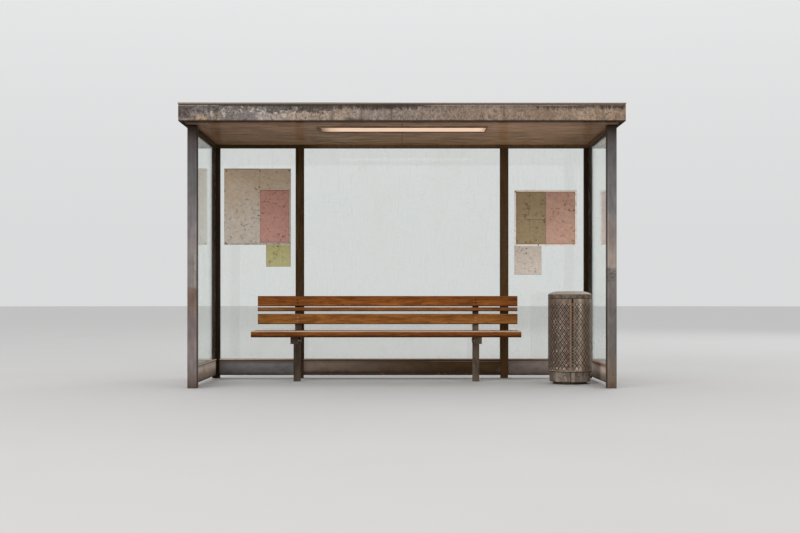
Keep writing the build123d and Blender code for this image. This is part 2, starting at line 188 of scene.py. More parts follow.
# %% [markdown]
# ## Strokes that every finish uses
# Paint, rust, wood and paper all look worn for the same few reasons: something varies in soft patches,
# something starts past a line or lies near one, one colour covers another, and the surface rises and falls
# a little. All of these are written from the part's own coordinates in metres, so a streak of 20 mm is 20
# mm on every part, and nothing has to be unwrapped.

# %% Place and patches
def point(finish):
    """The point on the shelter, in metres."""
    if finish.point is None:
        finish.point = finish.node("TexCoord")["Object"]
    return finish.point


def axes(finish, names):
    """The parts of that point with these names, such as "XZ"."""
    parts = finish.node("SeparateXYZ", inputs={"Vector": point(finish)})
    return [parts[name] for name in names]


def patches(finish, size, stretch=(1, 1, 1), detail=4, roughness=0.55, seed=0.0, warp=0.0):
    """Cloudy patches from 0 to 1, about size metres across, and drawn out along an axis by its stretch."""
    moved = (seed, seed * 1.7, seed * 0.6)
    drawn = point(finish) * tuple(1 / (size * s) for s in stretch) + moved
    inputs = {"Vector": drawn, "Scale": 1.0, "Detail": detail, "Roughness": roughness, "Distortion": warp}
    return finish.node("TexNoise", inputs=inputs)


# %% Steps and bands
def past(value, start, end):
    """0 before start, 1 after end, and smooth between them. It falls instead if start is above end."""
    inputs = {"Value": value, "From Min": start, "From Max": end}
    return value.finish.node("MapRange", {"interpolation_type": "SMOOTHSTEP"}, inputs)


def near(value, middle, outer, inner):
    """1 where the value is within inner of the middle, and 0 where it is outer or more away from it."""
    return past(abs(value - middle), outer, inner)


# %% Layers, colours along a line, and relief
def over(mask, under, top):
    """The top colour laid over the one under it, where the mask is 1."""
    finish = mask.finish
    inputs = {"Factor": mask, "A": finish.paint(under), "B": finish.paint(top)}
    return finish.node("Mix", {"data_type": "RGBA"}, inputs)


def ramp(value, stops):
    """What stands at each value in stops, pairs of a value and a colour in rising order, and between them."""
    low, high = stops[0][0], stops[-1][0]
    shares = [((at - low) / (high - low), colour) for at, colour in stops]
    return value.finish.node("ValToRGB", {"stops": shares}, {"Fac": (value - low) * (1 / (high - low))})


def along(value, stops):
    """A seen colour that changes with value."""
    return ramp(value, [(at, value.finish.paint(colour)) for at, colour in stops])


def level(value, stops):
    """A number from 0 to 1 that changes with value."""
    grey = ramp(value, [(at, (number,) * 3) for at, number in stops])
    return value.finish.node("RGBToBW", inputs={"Color": grey})


def relief(height, depth, strength):
    """A normal that rises and falls with height, depth metres from 0 to 1."""
    return height.finish.node("Bump", inputs={"Height": height, "Distance": depth, "Strength": strength})


# %% The end of a finish
def lay(finish, nodes=(), **sockets):
    """Ends the finish with a Principled shader and gives it to CAD parts. A _ stands for a socket's space."""
    named = {name.replace("_", " "): value for name, value in sockets.items()}
    shader = finish.node("BsdfPrincipled", inputs=named)
    finish.node("OutputMaterial", inputs={"Surface": shader})
    paint_parts(finish, nodes)


def paint_parts(finish, nodes):
    """Puts the finish on CAD parts."""
    for name in nodes:
        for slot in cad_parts[name].material_slots:
            slot.material = finish.material
    print(finish.material.name, "with", len(finish.tree.nodes), "nodes, on", len(nodes), "CAD parts")


# %% [markdown]
# ## Studio
# Outdoors, daylight under clouds comes from all sides: bright from above, softer from the horizon, and
# returned by what lies round the shelter. A studio can do the same with a world that is a little brighter
# overhead, a pale floor, and large lamps that are soft enough to leave no hard shadow. Two of them stand
# low and far in front, so that light reaches under the roof. The floor is wide, so that its edge never
# shows from any side, and about as bright as the horizon.

# %% Daylight and floor
world = bpy.data.worlds.new("studio")
world.use_nodes = True
scene.world = world
daylight = Finish("daylight", tree=world.node_tree)
upward = daylight.node("SeparateXYZ", inputs={"Vector": daylight.node("TexCoord")["Generated"]})["Z"]
dome = over(past(upward, 0.0, 0.8), (0.70, 0.705, 0.71), (1.15, 1.15, 1.16))
light = daylight.node("Background", inputs={"Color": dome, "Strength": 1.0})
daylight.node("OutputWorld", inputs={"Surface": light})

disc = bmesh.new()
bmesh.ops.create_circle(disc, cap_ends=True, segments=96, radius=120)
floor_mesh = bpy.data.meshes.new("floor")
disc.to_mesh(floor_mesh)
disc.free()
floor = bpy.data.objects.new("floor", floor_mesh)
scene.collection.objects.link(floor)
floor_paint = Finish("floor_paint")
floor_tone = over(patches(floor_paint, 1.4), (0.475, 0.470, 0.465), (0.505, 0.500, 0.495))
lay(floor_paint, Base_Color=floor_tone, Roughness=0.9, Specular_IOR_Level=0.1)
floor_mesh.materials.append(floor_paint.material)


# %% Soft lamps
def soft_lamp(name, where, aim, width, height, watts, colour):
    """A large lamp that faces its aim and is not seen itself."""
    lamp = bpy.data.lights.new(name, "AREA")
    lamp.shape, lamp.size, lamp.size_y = "RECTANGLE", width, height
    lamp.energy, lamp.color = watts, colour
    holder = bpy.data.objects.new(name, lamp)
    holder.location = where
    holder.rotation_mode = "QUATERNION"
    holder.rotation_quaternion = (Vector(aim) - Vector(where)).to_track_quat("-Z", "Y")
    holder.visible_camera = False
    scene.collection.objects.link(holder)


soft_lamp("lamp_high", (-8.0, -13.0, 10.0), (0, 0, 1.2), 7, 5, 500, (1.0, 0.985, 0.96))
soft_lamp("lamp_low_left", (-12.0, -14.0, 3.0), (0, 0.5, 1.0), 8, 4, 900, (1.0, 0.985, 0.965))
soft_lamp("lamp_low_right", (12.0, -14.0, 3.0), (0, 0.5, 1.0), 8, 4, 800, (1.0, 0.98, 0.95))
soft_lamp("lamp_back", (10.0, 12.0, 10.0), (0, 0, 1.2), 7, 5, 450, (0.97, 0.985, 1.0))
print("studio: daylight, a floor and 4 lamps")

# %% [markdown]
# ## Front posts
# The two front posts are square steel tube in a satin grey, which has faded unevenly: blue grey under the
# roof, nearly lilac at chest height, and browner towards the foot, where the coat has been touched up with
# a slightly wrong colour. Rain has drawn faint streaks down them, the corners are rubbed and the foot is
# splashed. The tones follow a colour ramp up each post, which also holds painted shade: the posts darken
# towards the roof and are nearly black just under the fascia. Its steps slant a little across the face and
# are shifted by noise. Painted highlights run down the front faces, and the inner sides are painted dark as
# shade.

# %% Grey paint and painted shade of the front posts, as heights and the colours seen there
# The upper steps are painted shade: the tones darken towards the roof and are nearly black under the fascia.
LEFT_POST_TONES_AND_SHADE = [
    (0.00, (0.110, 0.065, 0.050)), (0.05, (0.132, 0.088, 0.072)), (0.17, (0.193, 0.163, 0.158)),
    (0.31, (0.215, 0.173, 0.165)), (0.46, (0.196, 0.154, 0.146)), (0.57, (0.172, 0.136, 0.132)),
    (0.66, (0.190, 0.138, 0.112)), (0.78, (0.175, 0.106, 0.070)), (0.838, (0.190, 0.138, 0.116)),
    (0.850, (0.248, 0.218, 0.206)), (1.04, (0.252, 0.221, 0.196)), (1.20, (0.252, 0.218, 0.208)),
    (1.33, (0.220, 0.193, 0.197)), (1.65, (0.132, 0.124, 0.124)), (1.90, (0.103, 0.096, 0.096)),
    (2.07, (0.075, 0.062, 0.060)), (2.13, (0.046, 0.028, 0.018)), (2.18, (0.012, 0.006, 0.003)),
]
RIGHT_POST_TONES_AND_SHADE = [
    (0.00, (0.150, 0.090, 0.052)), (0.10, (0.174, 0.125, 0.090)), (0.20, (0.160, 0.128, 0.102)),
    (0.40, (0.150, 0.126, 0.116)), (0.57, (0.160, 0.136, 0.126)), (0.66, (0.142, 0.120, 0.113)),
    (0.78, (0.196, 0.164, 0.154)), (0.86, (0.175, 0.151, 0.137)), (0.99, (0.200, 0.172, 0.156)),
    (1.02, (0.360, 0.290, 0.250)), (1.14, (0.292, 0.240, 0.204)), (1.32, (0.247, 0.205, 0.180)),
    (1.45, (0.235, 0.202, 0.188)), (1.49, (0.175, 0.168, 0.166)), (1.70, (0.158, 0.148, 0.144)),
    (1.90, (0.118, 0.110, 0.110)), (2.05, (0.109, 0.098, 0.098)), (2.12, (0.084, 0.060, 0.048)),
    (2.18, (0.024, 0.012, 0.005)),
]


def rubbed_corners(finish, middle_x, middle_y, half, width):
    """1 along the four upright corners of square tube, on both sides of the shelter at once."""
    x, y = axes(finish, "XY")
    from_middle = finish.arithmetic("MINIMUM", abs(abs(x) - middle_x), abs(y - middle_y))
    return past(from_middle, half - width, half - width * 0.2)


POST_X, POST_Y, POST_HALF = 1.76, -0.56, 0.04
INNER_FACE = POST_X - POST_HALF
SLANT = 0.25
post = Finish("front_post_paint", FRONT)
x, z = axes(post, "XZ")
mottle = patches(post, 0.035, (1, 1, 2.2), detail=6, roughness=0.62, seed=6.4)
streaks = patches(post, 0.014, (1, 1, 34), detail=5, seed=7.7)
wander = z + (mottle - 0.5) * 0.03 + x * SLANT
left_tone_and_shade = along(wander + SLANT * POST_X, LEFT_POST_TONES_AND_SHADE)
right_tone_and_shade = along(wander - SLANT * POST_X, RIGHT_POST_TONES_AND_SHADE)
tone = over(past(x, -0.1, 0.1), left_tone_and_shade, right_tone_and_shade)
tone = tone * (0.16 + mottle * 1.08 + streaks * 0.56)

# %% Wear, painted highlights and painted shade on the front posts
# Painted highlight: a pale glint down the left post's face at chest height.
glint_at = near(x, -1.736, 0.006, 0.002) * near(z, 0.98, 0.17, 0.12)
tone = over(glint_at * past(mottle, 0.35, 0.5) * 0.45, tone, (0.40, 0.37, 0.35))
speckle = past(patches(post, 0.007, detail=3, seed=1.3), 0.64, 0.70)
tone = over(speckle * 0.6, tone, (0.05, 0.042, 0.038))
rubbed = rubbed_corners(post, POST_X, POST_Y, POST_HALF, width=0.006)
chips = past(patches(post, 0.03, (1, 1, 5), seed=9.0), 0.46, 0.60)
tone = over(rubbed * chips * past(z, 1.3, 0.5) * 0.8, tone, (0.13, 0.062, 0.038))
# Painted highlight: a lighter line down each front face, near its inner corner.
arris_highlight = near(abs(x), INNER_FACE + 0.0115, 0.0045, 0.0020)
tone = tone * (1 + arris_highlight * 0.18)
# Painted shade on the inner side of each front post.
shaded_inner_side = past(abs(x), INNER_FACE + 0.0025, INNER_FACE + 0.0005)
tone = over(shaded_inner_side * 0.75, tone, (0.045, 0.028, 0.020))
splash = past(z + patches(post, 0.04, detail=5, seed=5.0) * 0.15, 0.15, 0.07)
tone = over(splash * 0.45, tone, (0.060, 0.040, 0.032))
scrape_at = near(z, 0.955, 0.060, 0.045) * past(x, 1.70, 1.71)
scrape = scrape_at * past(patches(post, 0.012, (1.6, 1, 1), detail=4, roughness=0.7, seed=2.2), 0.49, 0.56)
tone = over(scrape * 0.8, tone, (0.075, 0.062, 0.058))
bumps = patches(post, 0.002, detail=2, seed=4.0) * 0.3 + mottle * 0.4 - rubbed * chips
lay(
    post, ["front_post_left", "front_post_right"],
    Base_Color=tone, Roughness=0.46 + mottle * 0.3, Specular_IOR_Level=0.25,
    Normal=relief(bumps, 0.0008, 0.7),
)

# %% [markdown]
# ## Back frame
# The frame behind is the same tube in a very dark brown, painted nearly black in the corners as the shade
# where two posts shade each other. Dark gloss paint is mostly seen by what it mirrors, so its colour and its
# reflection are both kept low. The inner posts, out in the light, are painted a lighter, redder brown as that
# light, the right one most, with painted shade low on the left one. Painted highlights run up the corners
# of the tube, and the head rail is lighter, more so to the right.

# %% Dark brown paint of the back posts and rails
BACK_POSTS = ["back_post_left", "back_post_inner_left", "back_post_inner_right", "back_post_right"]
HEAD_RAILS = ["head_rail_back", "head_rail_left", "head_rail_right"]
BACK_POST_X, BACK_POST_Y, BACK_POST_HALF = 1.765, 0.775, 0.035
brown = Finish("back_frame_paint", INSIDE)
x, z = axes(brown, "XZ")
drift = patches(brown, 0.25, (1, 1, 3), seed=1.9)
streaks = patches(brown, 0.012, (1, 1, 25), detail=5, seed=2.6)
grit = patches(brown, 0.016, (1, 1, 1.6), detail=4, roughness=0.65, seed=5.8)
inner = past(abs(x), 1.4, 1.1)
# Painted light and shade: the inner posts' tones follow how much light reaches them, darker low on the left
# one and lighter low on the right one.
shaded_left_inner = over(past(z, 0.5, 0.1), (0.0305, 0.0142, 0.0026), (0.020, 0.0080, 0.0010))
shaded_left_inner = over(past(z, 1.2, 1.8), shaded_left_inner, (0.0262, 0.0112, 0.0012))
lit_right_inner = over(past(z, 0.5, 0.1), (0.055, 0.0258, 0.0072), (0.090, 0.0390, 0.0098))
tone = over(past(x, -0.5, 0.5), shaded_left_inner, lit_right_inner)
# Painted shade: the corner posts, where two posts shade each other, are nearly black.
tone = over(inner, (0.0100, 0.0050, 0.0009), tone)
rail = over(past(x, -1.0, -0.6), (0.043, 0.0245, 0.0085), (0.106, 0.0650, 0.0320))
tone = over(past(z, 2.180, 2.186), tone, rail)
tone = tone * (drift * 0.90 + streaks * 1.10 - 0.04)
tone = over(past(grit, 0.60, 0.68) * inner * 0.5, tone, (0.115, 0.070, 0.040))
tone = over(past(grit, 0.42, 0.34) * 0.6, tone, (0.008, 0.004, 0.002))
# Painted highlight along the corners of the tube.
arris_highlight = rubbed_corners(brown, BACK_POST_X, BACK_POST_Y, BACK_POST_HALF, width=0.006)
arris_highlight = arris_highlight * past(streaks, 0.40, 0.60)
tone = over(arris_highlight * 0.5, tone, (0.060, 0.038, 0.022))
low_dust = past(z + drift * 0.25, 0.42, 0.10)
tone = over(low_dust * past(x, -1.0, -0.9) * 0.25, tone, (0.060, 0.036, 0.020))
bumps = patches(brown, 0.003, detail=2) * 0.4 + streaks * 0.3
lay(
    brown, BACK_POSTS + HEAD_RAILS,
    Base_Color=tone, Roughness=0.50 + streaks * 0.2, Specular_IOR_Level=0.04,
    Normal=relief(bumps, 0.0004, 0.5),
)

# %% [markdown]
# ## Kick panels
# The steel panels under the glass take the dirt. The left back one is a cool grey, the middle one is
# browner and darkens to the right with the bench's painted shadow, and the side ones are paler. Under the
# sill lies a dark line of painted shade, with a fine painted highlight below it, and the lower edge is
# splashed and darkened by dirt and painted shade. One finish serves all five: a ramp along x gives the back
# ones their tones and the bench's painted shadow, so the change from panel to panel is made the same way as
# the change along one panel.

# %% Dusty paint of the kick panels
KICK_PANELS = ["kick_panel_back_left", "kick_panel_back_middle", "kick_panel_back_right",
               "kick_panel_left", "kick_panel_right"]
# Painted shadow: the back tones darken across the middle panel, behind the bench.
KICK_TONES_AND_BENCH_SHADOW = [
    (-1.74, (0.094, 0.084, 0.082)), (-1.45, (0.123, 0.116, 0.118)), (-1.05, (0.114, 0.107, 0.107)),
    (-0.96, (0.154, 0.115, 0.091)), (-0.66, (0.148, 0.108, 0.081)), (-0.40, (0.094, 0.067, 0.049)),
    (-0.10, (0.070, 0.045, 0.029)), (0.25, (0.054, 0.033, 0.017)), (0.50, (0.045, 0.024, 0.010)),
    (0.90, (0.057, 0.032, 0.014)), (1.00, (0.157, 0.124, 0.111)), (1.40, (0.166, 0.132, 0.121)),
    (1.74, (0.148, 0.115, 0.101)),
]
kick = Finish("kick_panel_paint", INSIDE)
x, y, z = axes(kick, "XYZ")
smears = patches(kick, 0.14, (2.4, 2.4, 0.7), detail=5, roughness=0.6, seed=4.4)
cloud = patches(kick, 0.05, (1.6, 1.6, 1), detail=6, roughness=0.6, seed=8.1)
wander = x + (smears - 0.5) * 0.22
back_tone_and_bench_shadow = along(wander, KICK_TONES_AND_BENCH_SHADOW)
side_tone = over(past(z + (smears - 0.5) * 0.08, 0.06, 0.14), (0.190, 0.145, 0.110), (0.330, 0.270, 0.228))
side_tone = side_tone * (1 + past(x, 1.0, 1.6) * 0.25)
sides = past(abs(x), 1.745, 1.755)
tone = over(sides, back_tone_and_bench_shadow, side_tone)
tone = tone * (0.14 + smears * 0.85 + cloud * 0.90)
# Painted shade up the panels: darker towards the foot and just under the sill.
tone = tone * (0.72 + past(z, 0.03, 0.13) * 0.40 - past(z, 0.140, 0.150) * 0.20)
brown_top = past(z, 0.135, 0.150) * past(x, -0.95, -1.00) * past(y, 0.70, 0.74)
tone = over(brown_top * 0.55, tone, (0.086, 0.056, 0.038))
middle = past(abs(x), 0.99, 0.96)
# Dirt and painted shade at the foot, reaching higher on the middle panel behind the bench.
foot_dirt_and_shade = past(z + (cloud - 0.5) * 0.03 - middle * 0.022, 0.055, 0.030)
tone = over(foot_dirt_and_shade * 0.75, tone, (0.028, 0.019, 0.012))
stain = past(cloud + smears * 0.5, 0.84, 0.98) * past(z, 0.16, 0.08)
tone = over(stain * 0.6, tone, (0.022, 0.012, 0.006))
# Painted shade: a dark line under the sill's lip.
shade_under_sill = near(z, 0.1685, 0.0060, 0.0035)
tone = over(shade_under_sill * (0.55 + cloud * 0.4), tone, (0.020, 0.012, 0.008))
# Painted highlight: a fine pale line on the panels' top chamfer, on the right half.
chamfer_highlight = near(z, 0.1590, 0.0045, 0.0020) * past(x, 0.0, 0.5)
tone = over(chamfer_highlight * cloud, tone, (0.200, 0.150, 0.118))
rust = past(patches(kick, 0.022, (2, 2, 1), detail=5, seed=6.6), 0.60, 0.66) * past(z, 0.075, 0.035)
tone = over(rust * 0.8, tone, (0.155, 0.058, 0.022))
dents = patches(kick, 0.25, (1.6, 1.6, 0.6), detail=1, seed=2.0)
lay(
    kick, KICK_PANELS,
    Base_Color=tone, Roughness=0.46 + smears * 0.35, Specular_IOR_Level=0.08,
    Normal=relief(dents + cloud * 0.06, 0.004, 0.6),
)

# %% [markdown]
# ## Fascia
# The band round the roof is the most weathered part. A dark crust hangs from its top edge in drips, thick
# and blue grey on the left and thin on the right, over a chalky beige coat. Where the crust has torn off
# there are pale chips, low on the left sits a little orange lichen, and black mould has run down from the
# top at the right. How far the crust reaches down is drawn as a curve along the roof, and noise tears its
# edge. The drips are noise too, drawn out upwards, and they start at the top and fade as they fall.

# %% Tones along the roof, and how far the crust reaches down
COAT_TONES = [
    (-1.83, (0.235, 0.186, 0.174)), (-1.70, (0.240, 0.200, 0.182)), (-1.50, (0.215, 0.182, 0.160)),
    (-1.30, (0.210, 0.182, 0.174)), (-1.21, (0.240, 0.210, 0.200)), (-1.15, (0.365, 0.312, 0.288)),
    (-1.00, (0.390, 0.325, 0.282)), (-0.90, (0.360, 0.278, 0.218)), (-0.50, (0.355, 0.272, 0.210)),
    (-0.35, (0.285, 0.228, 0.192)), (-0.10, (0.255, 0.202, 0.172)), (0.12, (0.285, 0.225, 0.185)),
    (0.40, (0.268, 0.198, 0.156)), (0.75, (0.300, 0.222, 0.170)), (1.05, (0.270, 0.198, 0.146)),
    (1.30, (0.312, 0.230, 0.168)), (1.60, (0.372, 0.272, 0.196)), (1.83, (0.320, 0.232, 0.165)),
]
CRUST_TONES = [
    (-1.83, (0.080, 0.065, 0.057)), (-1.73, (0.100, 0.083, 0.075)), (-1.68, (0.185, 0.162, 0.156)),
    (-1.50, (0.100, 0.085, 0.078)), (-1.38, (0.162, 0.142, 0.134)), (-1.27, (0.200, 0.178, 0.166)),
    (-1.18, (0.165, 0.148, 0.136)), (-1.06, (0.112, 0.100, 0.095)), (-0.90, (0.082, 0.069, 0.062)),
    (-0.60, (0.076, 0.061, 0.052)), (-0.15, (0.046, 0.034, 0.027)), (0.12, (0.062, 0.046, 0.036)),
    (0.60, (0.130, 0.096, 0.076)), (1.30, (0.115, 0.083, 0.062)), (1.83, (0.120, 0.087, 0.064)),
]
CRUST_FOOT = [
    (-1.83, 0.18), (-1.73, 0.22), (-1.69, 0.42), (-1.60, 0.46), (-1.53, 0.58), (-1.44, 0.66), (-1.40, 0.86),
    (-1.20, 0.88), (-1.16, 0.57), (-1.07, 0.50), (-0.92, 0.60), (-0.71, 0.52), (-0.56, 0.70), (-0.45, 0.83),
    (-0.34, 0.83), (-0.28, 0.71), (0.10, 0.79), (0.22, 0.94), (1.05, 0.98), (1.18, 0.82), (1.60, 0.80),
    (1.83, 0.86),
]
FLAKING = [(-1.83, 0.2), (-1.62, 0.5), (-1.45, 0.75), (-1.20, 0.9), (-1.05, 1.0), (-0.85, 0.7), (-0.60, 0.35),
           (-0.20, 0.2), (0.30, 0.12), (1.83, 0.15)]
FASCIA = ["fascia_front", "fascia_back", "fascia_left", "fascia_right"]
FASCIA_FOOT, FASCIA_HEIGHT = 2.2, 0.128
coat = Finish("fascia_paint", FRONT)
x, z = axes(coat, "XZ")
height = (z - FASCIA_FOOT) * (1 / FASCIA_HEIGHT)
blotches = patches(coat, 0.085, (1.5, 1.5, 1), detail=6, roughness=0.62, seed=1.0)
drips = patches(coat, 0.020, (1, 1, 7), detail=5, roughness=0.6, seed=5.5)
fine = patches(coat, 0.018, (1, 1, 1.3), detail=5, roughness=0.7, seed=3.3)
crumbs = patches(coat, 0.030, detail=6, roughness=0.72, seed=12.5)
grain = past(fine, 0.36, 0.64)
lumps = past(crumbs, 0.37, 0.63)
drawn_x = x + (blotches - 0.5) * 0.10
coat_tone = along(drawn_x, COAT_TONES)
coat_tone = coat_tone * (0.28 + grain * 0.46 + lumps * 0.40 + drips * 0.66)
browned = past(patches(coat, 0.12, (1, 1, 2.2), detail=4, seed=14.0), 0.53, 0.66)
coat_tone = over(browned * 0.40, coat_tone, (0.205, 0.130, 0.082))

# %% The crust, its torn edge and its chips
foot = level(x, CRUST_FOOT)
flaking = level(x, FLAKING)
torn = height + (drips - 0.5) * 0.55 + (crumbs - 0.5) * 0.80 - foot
crust = past(torn, -0.06, 0.06)
crust_tone = along(drawn_x, CRUST_TONES)
crust_tone = crust_tone * (0.30 + grain * 0.80 + lumps * 0.60)
tone = over(crust * 0.94, coat_tone, crust_tone)
flakes = patches(coat, 0.038, (1.3, 1.3, 1), detail=6, roughness=0.75, seed=33.0)
edge = near(torn, -0.05, 0.36, 0.12)
chips = edge * past(flakes, 0.525, 0.555) * flaking
tone = over(chips * 0.95, tone, (0.640, 0.560, 0.505))
gaps = edge * past(flakes, 0.44, 0.40) * past(x, -0.4, -0.8)
tone = over(gaps * 0.6, tone, (0.080, 0.066, 0.058))
loose = past(patches(coat, 0.026, detail=5, roughness=0.75, seed=21.0), 0.60, 0.64)
tone = over(loose * flaking * 0.8, tone, (0.430, 0.380, 0.350))

# %% Lichen, black mould and drips
lichen_at = near(x, -1.650, 0.085, 0.05) + near(x, -1.53, 0.06, 0.03)
lichen = lichen_at * near(height, 0.20, 0.24, 0.06) * past(fine * 0.6 + crumbs * 0.4, 0.45, 0.57)
tone = over(lichen * 0.80, tone, (0.500, 0.320, 0.145))
fallen = past(height + (drips - 0.5) * 1.9, 0.62, 1.02)
tone = over(fallen * (1 - flaking) * 0.40, tone, (0.085, 0.062, 0.048))
MOULD = [
    (-1.83, 0.0), (-0.6, 0.0), (-0.5, 0.4), (0.1, 0.4), (0.24, 0.1), (1.0, 0.15), (1.15, 0.8), (1.83, 0.8),
]
mould = past(height + (fine - 0.5) * 0.8 + (drips - 0.5) * 1.4, 0.88, 1.02) * level(x, MOULD)
tone = over(mould * 0.88, tone, (0.040, 0.027, 0.020))
low_mould = near(x, -0.38, 0.10, 0.04) * past(height + (crumbs - 0.5) * 0.4, 0.24, 0.10)
tone = over(low_mould * 0.7, tone, (0.085, 0.062, 0.048))
LONG_DRIPS = [
    (-0.590, -0.565, -0.545, 0.8), (-0.345, -0.332, -0.318, 1), (-0.100, -0.086, -0.072, 0.8),
    (0.820, 0.832, 0.846, 0.9), (1.625, 1.640, 1.652, 0.9),
]
drip_stops = [(-1.83, 0)]
for start, middle, end, darkness in LONG_DRIPS:
    drip_stops += [(start, 0), (middle, darkness), (end, 0)]
long_drip = level(x, drip_stops + [(1.83, 0)])
tone = over(long_drip * past(fine, 0.30, 0.50) * 0.75, tone, (0.060, 0.042, 0.034))

# %% Pits, rust, and the edges of the fascia, with painted shade along its lower edge and underside
pitted = past(patches(coat, 0.010, (1, 1, 1.6), detail=4, roughness=0.65, seed=9.4), 0.585, 0.640)
tone = over(pitted * 0.75, tone, (0.052, 0.037, 0.030))
rust = past(patches(coat, 0.045, (1, 1, 2.2), detail=5, seed=7.2), 0.57, 0.66) * past(x, 0.5, 1.3)
tone = over(rust * 0.40, tone, (0.200, 0.112, 0.062))
PALE_LINE = [
    (-1.83, 0.9), (-1.55, 0.9), (-1.47, 0.0), (0.15, 0.0), (0.28, 1.0), (1.35, 0.8), (1.50, 0.2), (1.83, 0.2),
]
top_row = near(height, 0.970, 0.042, 0.025)
tone = over(top_row * past(crumbs, 0.38, 0.48) * level(x, PALE_LINE), tone, (0.320, 0.262, 0.215))
dark_row = near(x, -1.02, 0.48, 0.40) * past(height, 0.90, 0.94)
tone = over(dark_row * 0.75, tone, (0.048, 0.040, 0.033))
groove = past(height, 1.005, 1.02)
groove_tone = over(past(x, 0.0, 0.4), (0.120, 0.092, 0.074), (0.270, 0.210, 0.170))
tone = over(groove * 0.9, tone, groove_tone * (0.55 + fine * 0.9))
# Painted shade: a dark dashed band along the fascia's lower edge.
shaded_lower_edge = past(height + (crumbs - 0.5) * 0.10, 0.085, 0.045)
tone = over(shaded_lower_edge * 0.85, tone, (0.050, 0.034, 0.025))
# Painted shade on the fascia's underside, darkest in the middle.
below = past(z, FASCIA_FOOT + 0.0012, FASCIA_FOOT + 0.0004)
underside_shade_tone = over(past(abs(x), 1.7, 0.7), (0.012, 0.007, 0.004), (0.060, 0.036, 0.022))
tone = over(below * 0.95, tone, underside_shade_tone)
bumps = blotches * 0.4 + crust * 0.8 + grain * 0.3 - pitted * 0.5 + chips * 0.4
lay(
    coat, FASCIA,
    Base_Color=tone, Roughness=0.78 + crust * 0.12, Specular_IOR_Level=0.10,
    Normal=relief(bumps, 0.0014, 0.9),
)

# %% [markdown]
# ## Ceiling
# The ceiling is smooth painted sheet with a little gloss left, so it mirrors the posts under it as soft
# darker bands. Those bands are not painted here: a thin clear coat makes them by itself, while the paint
# under it has no shine, since a low view along a ceiling would turn any shine white. What is painted is the
# brown tone, a strip of painted shade behind the fascia, brush-like streaks along the roof, a few dark
# smears, and the joint of its two sheets.

# %% Brown ceiling paint
ceiling = Finish("soffit_paint", CEILING)
x, y = axes(ceiling, "XY")
broad = patches(ceiling, 0.45, (1.6, 0.6, 1), detail=4, seed=2.4)
brushed = patches(ceiling, 0.11, (2.6, 1, 1), detail=7, roughness=0.68, seed=6.1)
cloud = patches(ceiling, 0.11, (1.8, 1, 1), detail=5, roughness=0.6, seed=3.9)
tone = over(past(y + (cloud - 0.5) * 0.4, -0.45, 0.25), (0.138, 0.083, 0.051), (0.110, 0.067, 0.038))
tone = tone * (brushed * 2.0 + cloud * 0.9 - 0.42) * (0.94 + past(x, -1.3, 1.3) * 0.36)
warm = past(y + (cloud - 0.5) * 0.25, -0.50, -0.66) * past(brushed, 0.36, 0.60)
tone = over(warm * 0.6, tone, (0.104, 0.062, 0.037))
pale = near(x, -0.62, 0.34, 0.10) * past(cloud, 0.42, 0.62)
tone = over(pale * 0.45, tone, (0.165, 0.130, 0.090))
ends = past(abs(x) + (cloud - 0.5) * 0.3, 1.25, 1.72)
tone = over(ends * 0.5, tone, (0.070, 0.040, 0.022))
front_left = past(y, -0.56, -0.68) * past(x, 0.9, 0.3)
tone = tone * (1 - front_left * 0.11)
# Painted shade: a dark strip on the ceiling just behind the fascia.
shade_behind_fascia = past(y + (brushed - 0.5) * 0.06, -0.690, -0.745)
tone = over(shade_behind_fascia * 0.90, tone, (0.018, 0.009, 0.004))
smears = past(patches(ceiling, 0.030, (5, 1, 1), detail=5, roughness=0.62, seed=8.8), 0.60, 0.68)
tone = over(smears * 0.75, tone, (0.040, 0.022, 0.012))
joint = past(abs(x), 0.0040, 0.0020)
tone = over(joint * 0.5, tone, (0.030, 0.018, 0.010))
lay(
    ceiling, ["soffit"],
    Base_Color=tone, Roughness=0.85, Specular_IOR_Level=0.0,
    Coat_Weight=0.085 - smears * 0.05, Coat_Roughness=0.16,
    Normal=relief(brushed * 0.3 + broad * 0.7 - joint, 0.0010, 0.4),
)

# %% [markdown]
# ## Roof top
# From above, the roof is a shallow metal tray: a folded rim all round, and raised seams where the sheets
# meet. The rim is what the photograph shows as a thin bright lip over the fascia: its front face carries a
# painted highlight, bright along the middle and the right and greyer at the left, with a painted shadow
# line along its lower part. The tray stays inside the CAD sheet's height, with its floor a little under the
# rim.

# %% Shared mesh tools: rings, a swept section and the hook that hangs a piece on the frame
def join_rings(bm, first, second):
    """A band of faces between two closed rings of points. Either ring may be a single point."""
    for i in range(max(len(first), len(second))):
        near_pair = [first[i - 1], first[i]] if len(first) > 1 else first
        far_pair = [second[i], second[i - 1]] if len(second) > 1 else second
        bm.faces.new(near_pair + far_pair)


def sweep(bm, section, start, end, point_at):
    """Draws a closed section straight along from start to end. point_at turns (along, a, b) into x, y, z."""
    first, last = ([bm.verts.new(point_at(run, a, b)) for a, b in section] for run in (start, end))
    join_rings(bm, first, last)
    bm.faces.new(first)
    bm.faces.new(last)


def hang(name, bm, finish, stands_for=(), *, smooth):
    """Makes a piece of the mesh, smooths edges up to an angle, and lets the piece ride on the frame."""
    bmesh.ops.recalc_face_normals(bm, faces=bm.faces)
    mesh = bpy.data.meshes.new(name)
    bm.to_mesh(mesh)
    bm.free()
    mesh.shade_smooth()
    mesh.set_sharp_from_angle(angle=math.radians(smooth))
    mesh.materials.append(finish.material)
    piece = bpy.data.objects.new(name, mesh)
    scene.collection.objects.link(piece)
    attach(piece, "root")
    if stands_for:
        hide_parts(*stands_for)
    print(name, "with", len(mesh.polygons), "faces")
    return piece


